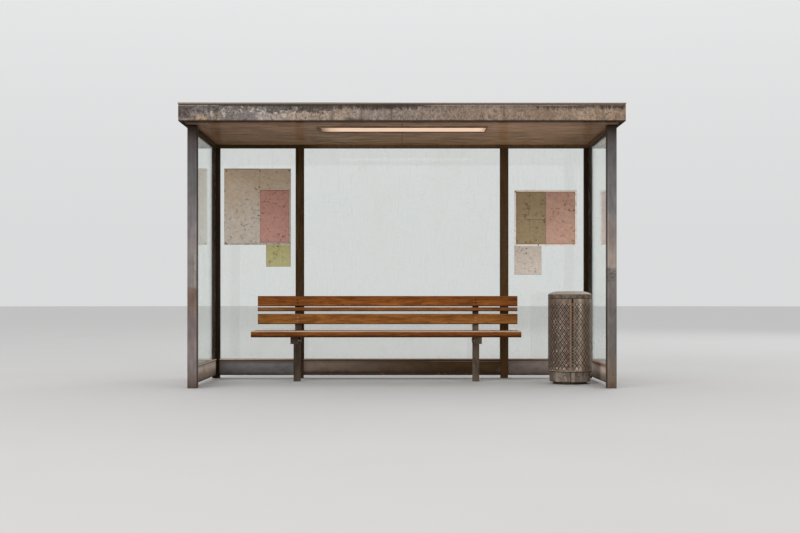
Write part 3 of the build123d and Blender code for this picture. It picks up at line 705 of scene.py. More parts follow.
# %% Weathered roof metal
roof = Finish("roof_metal", FRONT)
x, y, z = axes(roof, "XYZ")
puddles = patches(roof, 0.40, (1.4, 1, 1), detail=6, roughness=0.62, seed=3.7, warp=0.2)
grit = patches(roof, 0.012, detail=4, roughness=0.7, seed=6.2)
tone = over(past(puddles, 0.36, 0.62), (0.270, 0.252, 0.224), (0.385, 0.360, 0.325))
tide = near(puddles, 0.47, 0.022, 0.004)
tone = over(tide * 0.3, tone, (0.160, 0.140, 0.115))
tone = over(past(grit, 0.60, 0.72) * 0.6, tone, (0.085, 0.078, 0.068))
edge_damp = past(abs(y) + puddles * 0.25, 0.92, 1.04)
moss = past(grit + edge_damp * 0.16, 0.63, 0.72)
tone = over(moss * edge_damp * 0.8, tone, (0.085, 0.092, 0.035))
# Painted highlight along the rim's front face, with a painted shadow line along its lower part.
front_lip = past(y, -0.885, -0.897)
lip_highlight = along(x + (puddles - 0.5) * 0.4, [
    (-1.83, (0.250, 0.220, 0.190)), (-1.50, (0.330, 0.285, 0.230)),
    (-0.60, (0.240, 0.195, 0.140)), (-0.10, (0.480, 0.410, 0.350)),
    (0.40, (0.620, 0.550, 0.500)), (1.83, (0.600, 0.530, 0.450)),
])
lip_highlight = lip_highlight * (0.65 + grit * 0.6)
lip_shadow_line = over(past(x, -0.6, 0.0), (0.240, 0.200, 0.155), (0.150, 0.116, 0.096))
lip_highlight = over(past(z, 2.3435, 2.3455), lip_shadow_line * (0.65 + grit * 0.7), lip_highlight)
tone = over(front_lip, tone, lip_highlight)
lay(
    roof, ["roof_sheet"],
    Base_Color=tone, Roughness=0.62 + grit * 0.25, Specular_IOR_Level=0.3,
    Normal=relief(puddles * 0.5 + grit * 0.2, 0.003, 0.6),
)

# %% The roof tray with its rim and seams
low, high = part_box("roof_sheet")
tray = bmesh.new()
RIM_WIDTH, RIM_DEPTH, BEVEL, FOLD, APRON = 0.022, 0.007, 0.002, 0.004, 0.1
sunk = high.z - RIM_DEPTH
insets_and_heights = [
    (0.0, low.z), (0.0, high.z - BEVEL), (BEVEL, high.z), (RIM_WIDTH, high.z),
    (RIM_WIDTH + FOLD, sunk), (RIM_WIDTH + APRON, sunk),
]
rings = [
    [tray.verts.new((x_side, y_side, z_here)) for x_side, y_side in (
        (low.x + inset, low.y + inset), (high.x - inset, low.y + inset),
        (high.x - inset, high.y - inset), (low.x + inset, high.y - inset))]
    for inset, z_here in insets_and_heights
]
for outer, inner in zip(rings, rings[1:]):
    join_rings(tray, outer, inner)
tray.faces.new(rings[-1])
tray.faces.new(rings[0])
SEAM = [(-0.016, 0.0), (-0.003, 0.0015), (-0.003, 0.0062), (0.003, 0.0062), (0.003, 0.0015), (0.016, 0.0)]
seam_section = [(a, sunk - 0.0002 + b) for a, b in SEAM]
SEAM_PLACES, SEAM_STOP = (-1.2, -0.6, 0.0, 0.6, 1.2), 0.03
for seam_x in SEAM_PLACES:
    sweep(tray, seam_section, low.y + SEAM_STOP, high.y - SEAM_STOP, lambda run, a, b: (seam_x + a, run, b))
hang("roof_tray", tray, roof, ["roof_sheet"], smooth=30)

# %% [markdown]
# ## Ceiling light
# A flat lamp hangs under the ceiling: a painted frame with a frosted cover, lit from inside. The tubes
# behind the cover stop short of its left end, so the light falls off there and turns warmer. Emission alone
# gives the glow, and its colour follows a ramp along x. The cover's own paint is dark, since what it
# returns adds to the glow. At the right end a strip of the frame is painted glowing, as if the lit cover
# reached over it.

# %% Frosted cover and its frame
glow = Finish("light_cover")
x, y = axes(glow, "XY")
mottle = patches(glow, 0.03, (3, 1, 1), detail=4)
light_tone = along(x, [
    (-0.70, (0.080, 0.036, 0.016)), (-0.665, (0.300, 0.180, 0.105)), (-0.61, (0.620, 0.420, 0.280)),
    (-0.52, (0.760, 0.540, 0.390)), (0.40, (0.780, 0.550, 0.395)), (0.66, (0.790, 0.550, 0.390)),
    (0.685, (0.700, 0.480, 0.330)), (0.715, (0.500, 0.330, 0.220)),
])
lit_depth = past(y, -0.480, -0.468) * past(y, -0.220, -0.234)
light_tone = light_tone * (0.86 + mottle * 0.28) * lit_depth
lay(
    glow, ["light_cover"],
    Base_Color=(0.16, 0.12, 0.09), Roughness=0.55, Specular_IOR_Level=0.1,
    Emission_Color=light_tone, Emission_Strength=1.0,
    Normal=relief(mottle, 0.0004, 0.4),
)
lamp_paint = Finish("light_frame_paint", CEILING)
x, y = axes(lamp_paint, "XY")
dusty = patches(lamp_paint, 0.04, (4, 1, 1), detail=5, seed=1.2)
frame_tone = over(past(dusty, 0.38, 0.62), (0.050, 0.030, 0.018), (0.100, 0.066, 0.044))
# Painted glow: a strip at the right end of the frame glows like the lit cover.
frame_glow_strip = near(x, 0.7025, 0.0115, 0.0085) * near(y, -0.350, 0.125, 0.112)
lay(
    lamp_paint, ["light_frame"],
    Base_Color=frame_tone, Roughness=0.6 + dusty * 0.2, Specular_IOR_Level=0.05,
    Emission_Color=frame_glow_strip * (0.540, 0.370, 0.250), Emission_Strength=1.0,
    Normal=relief(dusty, 0.0004, 0.4),
)

# %% [markdown]
# ## Glass
# A clean pane is hardly there: it lets nearly all light through, and mirrors more the flatter it is looked
# at. The side panes, seen almost edge on, mirror the notices and the corner posts. So the pane is a
# see-through shader and a mirror, mixed by how far the view turns away from straight on. The Fresnel node
# would do it too, but on the far face of a pane it takes the light to be leaving solid glass and returns
# nearly all of it, so the panes would keep daylight out. The fifth power of Facing is the same curve on
# both faces. Over it lies a little dirt: haze towards the bottom, dried drops, and runs of rain, all as one
# mask that mixes in a dull grey.

# %% Dusty panes
PANES = ["glass_back_left", "glass_back_middle", "glass_back_right", "glass_left", "glass_right"]
pane = Finish("pane_glass")
z = axes(pane, "Z")[0]
haze = patches(pane, 0.35, (1, 1, 1.4), detail=5, seed=5.2)
rain = patches(pane, 0.012, (1, 1, 16), detail=4, seed=2.9)
spots = pane.node("TexVoronoi", {"feature": "F1"}, {"Vector": point(pane), "Scale": 85.0, "Randomness": 1.0})
spot_size = patches(pane, 0.10, detail=3, seed=4.1)
dried = past(spots - spot_size * 0.40, 0.02, -0.05)
low_dirt = past(z + haze * 0.5, 0.70, 0.22)
dirt = past(haze, 0.40, 0.75) * 0.035 + past(rain, 0.52, 0.72) * 0.04 + low_dirt * 0.06 + dried * 0.17 + 0.012
mirror = pane.node("BsdfGlossy", inputs={"Color": (0.97, 0.99, 0.98), "Roughness": 0.02})
through = pane.node("BsdfTransparent", inputs={"Color": (0.965, 0.980, 0.968)})
away = pane.node("LayerWeight", inputs={"Blend": 0.5})["Facing"]
balance = pane.arithmetic("POWER", away, 5.0) * 0.96 + 0.035
clean = pane.node("MixShader", inputs={0: balance, 1: through, 2: mirror})
dirt_tone = over(past(haze, 0.4, 0.6), (0.36, 0.34, 0.29), (0.58, 0.55, 0.49))
film_look = {"Base Color": dirt_tone, "Roughness": 0.8, "Specular IOR Level": 0.1}
film = pane.node("BsdfPrincipled", inputs=film_look)
dusty_pane = pane.node("MixShader", inputs={0: dirt, 1: clean, 2: film})
pane.node("OutputMaterial", inputs={"Surface": dusty_pane})
paint_parts(pane, PANES)

# %% [markdown]
# ## Glazing seals
# Each pane is held by black rubber on both faces, pressed between the glass and the frame. A seal runs
# right round the opening and turns its corners at 45 degrees, so it is built as one closed loop: the same
# section at four corners, drawn in by its own inset.

# %% Rubber seals round the panes
rubber = Finish("glazing_seal")
worn = patches(rubber, 0.02, detail=4)
lay(
    rubber,
    Base_Color=over(past(worn, 0.45, 0.7), (0.012, 0.010, 0.008), (0.045, 0.036, 0.028)),
    Roughness=0.65 + worn * 0.25, Specular_IOR_Level=0.15, Normal=relief(worn, 0.0005, 0.4),
)

SEAL = [(0.0, 0.0), (0.0, 0.0040), (0.0015, 0.0048), (0.0038, 0.0040), (0.0052, 0.0012), (0.0055, 0.0)]


def loop(bm, opening, section, point_at):
    """A mitred loop round an opening (u0, u1, z0, z1). point_at turns (u, z, out) into x, y, z."""
    u0, u1, z0, z1 = opening
    rings = [
        [bm.verts.new(point_at(u, z, out)) for u, z in
         ((u0 + i, z0 + i), (u1 - i, z0 + i), (u1 - i, z1 - i), (u0 + i, z1 - i))]
        for i, out in section
    ]
    for first, second in zip(rings, rings[1:]):
        join_rings(bm, first, second)


sill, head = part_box("kick_panel_back_left")[1].z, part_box("head_rail_back")[0].z
pane_front, pane_back = (corner.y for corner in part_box("glass_back_left"))
side_outer, side_inner = (abs(corner.x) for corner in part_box("glass_left"))
back_boxes = [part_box(name) for name in BACK_POSTS]
back_bays = [(left[1].x, right[0].x) for left, right in zip(back_boxes, back_boxes[1:])]
side_bay = (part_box("front_post_left")[1].y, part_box("back_post_left")[0].y)
seals = bmesh.new()
for bay in back_bays:
    for face, sign in ((pane_front, -1), (pane_back, 1)):
        loop(seals, (*bay, sill, head), SEAL, lambda u, z, out: (u, face + sign * out, z))
for side in (-1, 1):
    for face, sign in ((side_inner, -1), (side_outer, 1)):
        loop(seals, (*side_bay, sill, head), SEAL, lambda u, z, out: (side * (face + sign * out), u, z))
hang("glazing_seals", seals, rubber, smooth=50)

# %% [markdown]
# ## Sills
# On top of each kick panel a thin folded strip carries the glass. It sticks out past the face by a few
# millimetres, so it catches the light as a fine line with its own shadow under it: pale at the left,
# darker and browner behind the bench, where the bench's shadow is painted in, and rusty on the right side
# wall. A strip is one section, drawn along each panel, and its tone is a ramp along x.

# %% Metal of the sills and fixings
worn_metal = Finish("fixing_steel", INSIDE)
x, z = axes(worn_metal, "XZ")
dull = patches(worn_metal, 0.03, detail=5, seed=1.5)
# The middle of the ramp is darker: painted shadow of the bench.
tone = along(x + (dull - 0.5) * 0.12, [
    (-1.80, (0.400, 0.318, 0.262)), (-1.10, (0.330, 0.236, 0.182)),
    (-0.93, (0.230, 0.160, 0.105)), (0.40, (0.170, 0.104, 0.054)),
    (1.10, (0.210, 0.126, 0.077)), (1.68, (0.226, 0.120, 0.066)),
    (1.76, (0.400, 0.180, 0.080)), (1.83, (0.300, 0.145, 0.075)),
])
tone = tone * (0.60 + dull * 0.75)
above_sills = past(z, 0.25, 0.30)
tone = over(above_sills, tone, (0.200, 0.165, 0.130))
tone = over(past(z, 0.66, 0.70) * 0.95, tone, (0.014, 0.008, 0.005))
lay(
    worn_metal,
    Base_Color=tone, Metallic=0.1, Roughness=0.45 + dull * 0.25, Specular_IOR_Level=0.1,
    Normal=relief(dull, 0.0004, 0.5),
)

# %% Folded sill strips
LAP, AT_GLASS = 0.0055, 0.004
SILL = [(0.0, LAP), (0.0, 0.0), (-0.0045, 0.0), (-0.0060, 0.0015), (-0.0060, 0.0080), (-0.0045, 0.0095)]


def sill_section(face, glass):
    """The strip's outline, from the face of a kick panel to the glass."""
    return [(face + a, sill - LAP + b) for a, b in SILL] + [(glass, sill + AT_GLASS), (glass, sill)]


sills = bmesh.new()
back_section = sill_section(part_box("kick_panel_back_left")[0].y, pane_front)
for start, end in back_bays:
    sweep(sills, back_section, start, end, lambda run, a, b: (run, a, b))
side_section = sill_section(abs(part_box("kick_panel_left")[1].x), side_inner)
for side in (-1, 1):
    sweep(sills, side_section, *side_bay, lambda run, a, b: (side * a, run, b))
hang("sill_strips", sills, worn_metal, smooth=25)

# %% [markdown]
# ## Bench wood
# The boards are oiled hardwood, a strong orange brown, with the grain along their length. Grain is noise
# that is drawn out along x: 9 times for the broad figure, 45 times for the fine fibres and 26 times for the
# pores. Every board is cut from another plank, so each gets its own seed. The rounded lower edges turn away
# from the light, and painted shade keeps them dark. The faces that look up carry a painted highlight,
# palest along the front of the seat, and there are a few dark knots.

# %% Oiled boards, each with its seed, how much its top is darker than its foot, and its dark and light grain
BOARDS = {
    "bench_back_board_top": (11.0, 0.36, (0.108, 0.032, 0.0050), (0.202, 0.067, 0.0150)),
    "bench_back_slat": (17.0, 0.05, (0.108, 0.037, 0.0095), (0.190, 0.076, 0.0250)),
    "bench_back_board_low": (23.0, 0.30, (0.134, 0.047, 0.0100), (0.240, 0.096, 0.0240)),
    "bench_seat_board_front": (31.0, 0.10, (0.082, 0.025, 0.0045), (0.150, 0.050, 0.0110)),
    "bench_seat_boards_rear": (41.0, 0.00, (0.110, 0.037, 0.0080), (0.180, 0.068, 0.0180)),
}
KNOTS = [(-1.166, 0.769), (-0.038, 0.751), (0.929, 0.752), (1.042, 0.748), (-0.55, 0.70), (0.35, 0.735),
         (-0.80, 0.545), (0.10, 0.600), (0.48, 0.655), (-0.30, 0.640)]


def times(colour, share):
    """The same colour, darker or brighter."""
    return tuple(channel * share for channel in colour)


def beyond(value, low, high):
    """How far the value lies beyond the span from low to high, and less than 0 inside it."""
    return abs(value - (low + high) / 2) - (high - low) / 2


def board_finish(name, seed, lean, dark, light):
    """Oiled wood for one board."""
    wood = Finish("wood_" + name, INSIDE)
    x, y, z = axes(wood, "XYZ")
    figure = patches(wood, 0.020, (9, 1, 1), detail=6, roughness=0.64, seed=seed, warp=0.6)
    fibres = patches(wood, 0.0035, (45, 1, 1), detail=4, roughness=0.6, seed=seed + 3)
    cloudy = patches(wood, 0.16, (2.2, 1, 1), detail=4, seed=seed + 5)
    tone = over(past(figure * 0.75 + fibres * 0.25, 0.40, 0.60), dark, light)
    pores = past(patches(wood, 0.0022, (26, 1, 1), detail=3, seed=seed + 7), 0.60, 0.70)
    tone = over(pores * 0.6, tone, times(dark, 0.35))
    low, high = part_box(name)
    share = (z - low.z) * (1 / (high.z - low.z))
    tone = tone * (0.66 + lean * 0.5 + cloudy * 0.68 - share * lean)
    stain = past(patches(wood, 0.05, (3.5, 1, 1), detail=5, roughness=0.6, seed=seed + 9), 0.60, 0.70)
    tone = over(stain * 0.55, tone, (0.075, 0.032, 0.016))
    for knot_x, knot_z in KNOTS:
        knot = past(abs(x - knot_x) + abs(z - knot_z) * 1.6 + (figure - 0.5) * 0.01, 0.012, 0.005)
        tone = over(knot * 0.85, tone, (0.030, 0.011, 0.005))
    edge = low.z + (0.009 if name == "bench_seat_board_front" else 0.0)
    # Painted shade along each board's lower edge.
    shaded_under_edge = past(z + (figure - 0.5) * 0.006, edge + 0.011, edge + 0.005)
    tone = over(shaded_under_edge * 0.88, tone, (0.024, 0.008, 0.002))
    ends = past(beyond(x, low.x, high.x), -0.010, -0.002)
    tone = over(ends * 0.45, tone, (0.080, 0.030, 0.010))
    # Painted highlight: faces that look up are painted paler as a sheen, palest along the front of the seat.
    turned_up = wood.node("SeparateXYZ", inputs={"Vector": wood.node("NewGeometry")["Normal"]})["Z"]
    sheen_on_top_faces = past(turned_up, 0.60, 0.95)
    paler_tone = over(past(fibres, 0.40, 0.62), (0.190, 0.118, 0.080), (0.290, 0.200, 0.150))
    paler_tone = over(past(y, 0.180, 0.130), paler_tone, (0.640, 0.430, 0.330))
    tone = over(sheen_on_top_faces * (0.45 + cloudy * 0.7), tone, paler_tone)
    bumps = fibres * 0.5 + figure * 0.4 - pores * 0.5 - stain * 0.1
    lay(
        wood, [name],
        Base_Color=tone, Roughness=0.52 + fibres * 0.22, Specular_IOR_Level=0.05,
        Normal=relief(bumps, 0.0007, 0.7),
    )


for board, look in BOARDS.items():
    board_finish(board, *look)

# %% [markdown]
# ## Bench frame
# The legs, bearers and uprights are dark painted steel, scuffed to a lighter metal and brown with dust near
# the floor. Painted shade darkens them under the seat and where they show between the boards, and the left
# frame more than the right. Bolts hold each wide board, two at each upright: a domed head on a small washer
# in front and a hexagonal nut behind. A bolt is turned on a lathe, so its mesh is a profile spun round an
# axis.

# %% Dark steel of the bench
steel = Finish("bench_steel", INSIDE)
x, z = axes(steel, "XZ")
drift = patches(steel, 0.10, (1, 1, 3), detail=5, seed=2.1)
flecks = patches(steel, 0.006, detail=4, seed=7.4)
scuffs = patches(steel, 0.02, (1, 1, 4), detail=5, roughness=0.65, seed=4.9)
tone = over(past(drift, 0.36, 0.64), (0.042, 0.027, 0.017), (0.098, 0.072, 0.050))
tone = over(past(scuffs, 0.54, 0.66) * 0.6, tone, (0.150, 0.115, 0.085))
tone = over(past(flecks, 0.60, 0.70) * 0.5, tone, (0.020, 0.012, 0.008))
tone = over(past(z + drift * 0.12, 0.20, 0.06) * 0.5, tone, (0.110, 0.085, 0.064))
# Painted shade under the seat, stronger on the left.
shade_under_seat = past(z, 0.33, 0.40) * past(z, 0.47, 0.46)
tone = over(shade_under_seat * (0.90 - past(x, -0.2, 0.2) * 0.5), tone, (0.018, 0.010, 0.005))
# Painted shade: darker below the seat, and darker on the left frame than on the right.
tone = tone * (1 - past(z, 0.40, 0.34) * 0.38) * (0.84 + past(x, -0.2, 0.2) * 0.32)
# Painted shade on the uprights where they show between the back boards.
shade_in_gaps = near(z, 0.652, 0.045, 0.038)
tone = over(shade_in_gaps * 0.8, tone, (0.024, 0.007, 0.002))
lay(
    steel, ["bench_frame_left", "bench_frame_right"],
    Base_Color=tone, Roughness=0.50 + drift * 0.2, Specular_IOR_Level=0.08,
    Normal=relief(flecks * 0.4 + scuffs * 0.4, 0.0006, 0.6),
)


# %% Bolts through the boards and the bearers
def turned(bm, profile, foot, axis, steps=14):
    """Spins a profile of (radius, height) pairs round an axis that starts at foot."""
    turn = Vector((0, 0, 1)).rotation_difference(Vector(axis)).to_matrix()
    rings = []
    for radius, height in profile:
        angles = [math.tau * i / steps for i in range(steps if radius else 1)]
        ring = [Vector((radius * math.cos(angle), radius * math.sin(angle), height)) for angle in angles]
        rings.append([bm.verts.new(Vector(foot) + turn @ corner) for corner in ring])
    for first, second in zip(rings, rings[1:]):
        join_rings(bm, first, second)


DOMED_BOLT = [
    (0.0, -0.001), (0.0078, -0.001), (0.0078, 0.0006), (0.0070, 0.0011), (0.0054, 0.0012), (0.0050, 0.0026),
    (0.0036, 0.0038), (0.0018, 0.0043), (0.0, 0.0044),
]
HEX_NUT = [
    (0.0, -0.001), (0.0125, -0.001), (0.0125, 0.0016), (0.0092, 0.0018), (0.0090, 0.0085), (0.0078, 0.0098),
    (0.0048, 0.0098), (0.0048, 0.0135), (0.0, 0.0140),
]
HEX = 6
BOLT_COLUMNS, BOLT_ROWS = (-0.970, 0.686), (0.742, 0.713, 0.578, 0.549)
BEARER_FACES, BEARER_BOLTS, BEARER_HEIGHT = ((-0.938, 1), (0.654, -1)), (0.165, 0.262, 0.42), 0.376
bolts = bmesh.new()
board_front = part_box("bench_back_board_top")[0].y
upright_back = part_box("bench_frame_left")[1].y
for bolt_x in BOLT_COLUMNS:
    for bolt_z in BOLT_ROWS:
        turned(bolts, DOMED_BOLT, (bolt_x, board_front, bolt_z), (0, -1, 0))
        turned(bolts, HEX_NUT, (bolt_x, upright_back, bolt_z), (0, 1, 0), HEX)
for bearer_face, outward in BEARER_FACES:
    for bolt_y in BEARER_BOLTS:
        turned(bolts, HEX_NUT, (bearer_face, bolt_y, BEARER_HEIGHT), (outward, 0, 0), HEX)
hang("bench_bolts", bolts, worn_metal, smooth=35)

# %% [markdown]
# ## Notices
# On the panes hang bare boards and sheets. Paper outdoors is never flat or one colour: it bleaches, cockles
# in the damp, picks up specks and keeps its folds. The papers differ only in colour and folds, so one loop
# makes all seven finishes. A fold is a thin line with a pale and a dark side, and the grubby rim is a
# border measured in from the box of the CAD part.

# %% Bare paper in seven tints, each with its CAD part and its shaded and bleached colour
PAPERS = {
    "board_cream": ("notice_board_left", (0.315, 0.244, 0.176), (0.368, 0.324, 0.284)),
    "sheet_pink": ("notice_sheet_left", (0.308, 0.159, 0.130), (0.350, 0.190, 0.158)),
    "note_green": ("note_left", (0.302, 0.278, 0.131), (0.345, 0.323, 0.163)),
    "board_white": ("notice_board_right", (0.600, 0.530, 0.470), (0.680, 0.610, 0.550)),
    "sheet_olive": ("notice_sheet_right_a", (0.217, 0.156, 0.092), (0.266, 0.202, 0.121)),
    "sheet_rose": ("notice_sheet_right_b", (0.314, 0.187, 0.143), (0.422, 0.261, 0.206)),
    "note_white": ("note_right", (0.438, 0.380, 0.332), (0.496, 0.435, 0.387)),
}
FOLDED_PAPER, FOLD_X, FOLD_Z = "sheet_olive", 1.216, 1.508


def fold_in(tone, across, creases, shaded, paler_tone):
    """A fold where across is 0: a cracked dark line with painted shade, and a paler painted highlight beside
    it.
    """
    wander = across + (creases - 0.5) * 0.012
    dark_side = near(wander, 0, 0.0075, 0.0020) * past(creases, 0.48, 0.58)
    tone = over(dark_side * 0.65, tone, times(shaded, 0.45))
    return over(near(wander, 0.009, 0.007, 0.002) * 0.20, tone, times(paler_tone, 1.4))


paper_finishes = {}
for number, (paper_name, (node, shaded, paler_tone)) in enumerate(PAPERS.items()):
    paper = Finish(paper_name, INSIDE)
    x, z = axes(paper, "XZ")
    low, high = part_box(node)
    faded = patches(paper, 0.14, detail=5, seed=number * 2.3)
    pulp = patches(paper, 0.006, detail=4, roughness=0.7, seed=number * 1.1)
    mottled = patches(paper, 0.030, detail=5, roughness=0.72, seed=number * 4.3 + 1)
    creases = patches(paper, 0.05, detail=6, roughness=0.7, seed=number * 3.7, warp=1.2)
    lowness = (high.z - z) * (1 / (high.z - low.z))
    tone = over(past(faded * 0.5 + lowness * 0.5, 0.26, 0.70), shaded, paler_tone)
    tone = tone * (0.62 + pulp * 0.14 + mottled * 0.62)
    clusters = past(patches(paper, 0.075, detail=4, seed=number * 7.9), 0.46, 0.58)
    dots = patches(paper, 0.024, (1.4, 1, 1), detail=5, roughness=0.72, seed=number * 5.1)
    flecks = past(dots, 0.555, 0.600) * (0.25 + clusters * 0.75)
    tone = over(flecks * 0.85, tone, times(shaded, 0.36))
    pale_flecks = past(patches(paper, 0.008, detail=3, seed=number * 6.3 + 2), 0.66, 0.72)
    tone = over(pale_flecks * 0.35, tone, times(paler_tone, 1.5))
    # Painted shade along thin creases in the damp paper.
    shaded_creases = near(creases, 0.5, 0.012, 0.002)
    tone = over(shaded_creases * 0.20, tone, times(shaded, 0.5))
    if paper_name == FOLDED_PAPER:
        for across in (x - FOLD_X, z - FOLD_Z):
            tone = fold_in(tone, across, creases, shaded, paler_tone)
    from_rim = paper.arithmetic("MAXIMUM", beyond(x, low.x, high.x), beyond(z, low.z, high.z))
    grubby = past(from_rim + (pulp - 0.5) * 0.008, -0.008, -0.001)
    tone = over(grubby * 0.22, tone, times(shaded, 0.55))
    if paper_name == "board_cream":
        board_joint = near(x, -1.3494, 0.0042, 0.0025) * past(z, 1.780, 1.786)
        tone = over(board_joint * 0.6, tone, (0.215, 0.165, 0.125))
        top_line = past(z, high.z - 0.008, high.z - 0.005) * past(x, -1.34, -1.36)
        tone = over(top_line * 0.9, tone, (0.050, 0.035, 0.025))
        foot_dashes = past(z, low.z + 0.016, low.z + 0.011) * past(pulp * 0.4 + creases * 0.6, 0.45, 0.55)
        tone = over(foot_dashes * 0.7, tone, (0.080, 0.058, 0.042))
    lay(
        paper, [node],
        Base_Color=tone, Roughness=0.85, Specular_IOR_Level=0.12,
        Normal=relief(faded * 0.6 + pulp * 0.05 - shaded_creases * 0.1, 0.004, 0.5),
    )
    paper_finishes[paper_name] = paper


# %% Sheets that curl at their lower corners
SQUARES, CURLED_SHARE = 28, 0.65
PAPER_THICKNESS, COCKLE, BEHIND = 0.0004, 0.0006, 0.0005


def curled_sheet(name, slot, lift, seed):
    """A thin sheet in the place of a CAD one, cockled a little and lifted at its lower corners."""
    node = PAPERS[slot][0]
    low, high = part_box(node)
    bm = bmesh.new()
    rows = []
    for j in range(SQUARES + 1):
        rows.append([])
        for i in range(SQUARES + 1):
            u, v = i / SQUARES, j / SQUARES
            corner = max(0.0, abs(u - 0.5) * 2 - 1 + CURLED_SHARE) * max(0.0, CURLED_SHARE - v)
            cockle = math.sin(u * 7.3 + seed) * math.sin(v * 5.1 + seed * 1.7) * 0.5 + 0.5
            free = min(u, 1 - u, v, 1 - v) * 4
            out = lift * corner ** 1.5 * 2.4 + COCKLE * cockle * min(1.0, free)
            at = (low.x + u * (high.x - low.x), high.y - BEHIND - out, low.z + v * (high.z - low.z))
            rows[-1].append(bm.verts.new(at))
    for first, second in zip(rows, rows[1:]):
        for i in range(SQUARES):
            bm.faces.new((first[i], first[i + 1], second[i + 1], second[i]))
    piece = hang(name, bm, paper_finishes[slot], [node], smooth=60)
    thicken = piece.modifiers.new("paper", "SOLIDIFY")
    thicken.thickness, thicken.offset = PAPER_THICKNESS, 0.0


curled_sheet("pink_sheet", "sheet_pink", lift=0.003, seed=1.0)
curled_sheet("green_note", "note_green", lift=0.009, seed=2.2)
curled_sheet("olive_sheet", "sheet_olive", lift=0.002, seed=3.9)
curled_sheet("rose_sheet", "sheet_rose", lift=0.003, seed=0.4)
curled_sheet("white_note", "note_white", lift=0.010, seed=5.0)

# %% Clips that hold the notices
CLIP = [(0.0, -0.0005), (0.0062, -0.0005), (0.0062, 0.0014), (0.0042, 0.0030), (0.0, 0.0034)]
CLIP_PLACES = [
    (-1.664, 1.966), (-1.348, 1.967), (-1.071, 1.967), (-1.682, 1.777), (-1.357, 1.813), (-1.357, 1.541),
    (-1.674, 1.283), (-1.066, 1.283), (-1.177, 1.250),
    (1.078, 1.768), (1.633, 1.758), (1.630, 1.274), (1.294, 1.262), (1.183, 1.231),
]
clips = bmesh.new()
clip_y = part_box("notice_board_left")[0].y
for clip_x, clip_z in CLIP_PLACES:
    turned(clips, CLIP, (clip_x, clip_y, clip_z), (0, -1, 0), steps=10)
hang("notice_clips", clips, rubber, smooth=50)

# %% [markdown]
# ## Litter bin
# The bin's shell is thin stainless sheet with staggered rows of round holes, rolled up and joined near the
# front, where one column of larger holes stands between two plain strips. Holes could be faked by a
# see-through texture, but real ones catch light on their rims and show the dark bucket behind, from any
# side. So the sheet is cut hole by hole: it is a grid of small tiles, and each tile is a square ring of
# faces round an eight-sided hole. From the photograph's distance a hole is finer than one pixel, so the
# holes' shade is painted in their own rhythm too, with the metal between them painted lighter, darkest round
# every other one. A rolled sheet is never quite round, so it shows upright bands of light and dark; these are
# painted as a ramp round the axis, counted from the side that faces the camera, with painted glints on top.

# %% Where the bin stands and where its holes are
bin_low, bin_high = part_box("bin_shell")
bin_x, bin_y = (bin_low.x + bin_high.x) / 2, (bin_low.y + bin_high.y) / 2
bin_radius = (bin_high.x - bin_low.x) / 2
to_eye = math.atan2(eye.x - bin_x, bin_y - eye.y)
COLUMNS, ROWS, PITCH = 132, 44, 0.0255
FIRST_TURN, FIRST_ROW = 0.0375, 0.1425
column_width = math.tau / COLUMNS
print("bin of radius", round(bin_radius, 3), "m, columns", round(column_width * bin_radius, 4), "m apart")

# %% Dull stainless of the bin
# Painted reflections: upright bands of light and dark, counted round from the side that faces the camera.
BIN_LIGHT_BANDS = [
    (-3.15, (0.160, 0.124, 0.096)), (-1.57, (0.132, 0.100, 0.077)), (-1.15, (0.120, 0.088, 0.067)),
    (-0.85, (0.104, 0.076, 0.056)), (-0.62, (0.112, 0.082, 0.060)), (-0.46, (0.148, 0.111, 0.088)),
    (-0.26, (0.134, 0.098, 0.076)), (-0.06, (0.118, 0.083, 0.061)), (0.13, (0.108, 0.080, 0.061)),
    (0.29, (0.162, 0.124, 0.095)), (0.39, (0.205, 0.160, 0.126)), (0.49, (0.312, 0.253, 0.206)),
    (0.60, (0.190, 0.144, 0.108)), (0.72, (0.122, 0.085, 0.057)), (0.98, (0.120, 0.087, 0.063)),
    (1.18, (0.165, 0.134, 0.106)), (1.57, (0.180, 0.142, 0.114)), (3.15, (0.160, 0.124, 0.096)),
]


def wave(value, length):
    """1 at 0, -1 half a length further on, and 1 again after a whole length."""
    return value.finish.arithmetic("COSINE", value * (math.tau / length))


stainless = Finish("bin_steel", INSIDE)
x, y, z = axes(stainless, "XYZ")
turn = stainless.arithmetic("ARCTAN2", x - bin_x, bin_y - y) - to_eye
around = patches(stainless, 0.030, (1, 1, 14), detail=5, seed=3.0)
grime = patches(stainless, 0.07, (1, 1, 2.5), detail=5, roughness=0.6, seed=6.8)
fine = patches(stainless, 0.022, (1, 1, 1.3), detail=5, roughness=0.7, seed=1.4)
light_banded = along(turn + (grime - 0.5) * 0.12, BIN_LIGHT_BANDS)

# %% Painted light and shade, dirt and rust round the holes
from_first_turn, from_first_row = turn - FIRST_TURN, z - FIRST_ROW
rhythm = wave(from_first_turn, 2 * column_width) * wave(from_first_row, PITCH)
every_other = wave(from_first_turn, 4 * column_width) * wave(from_first_row, 2 * PITCH)
half_height = PITCH * ROWS / 4
holed = near(from_first_row, half_height, half_height + 0.006, half_height)
holed = holed * near(from_first_turn, 0.09, 0.10, 0.13)
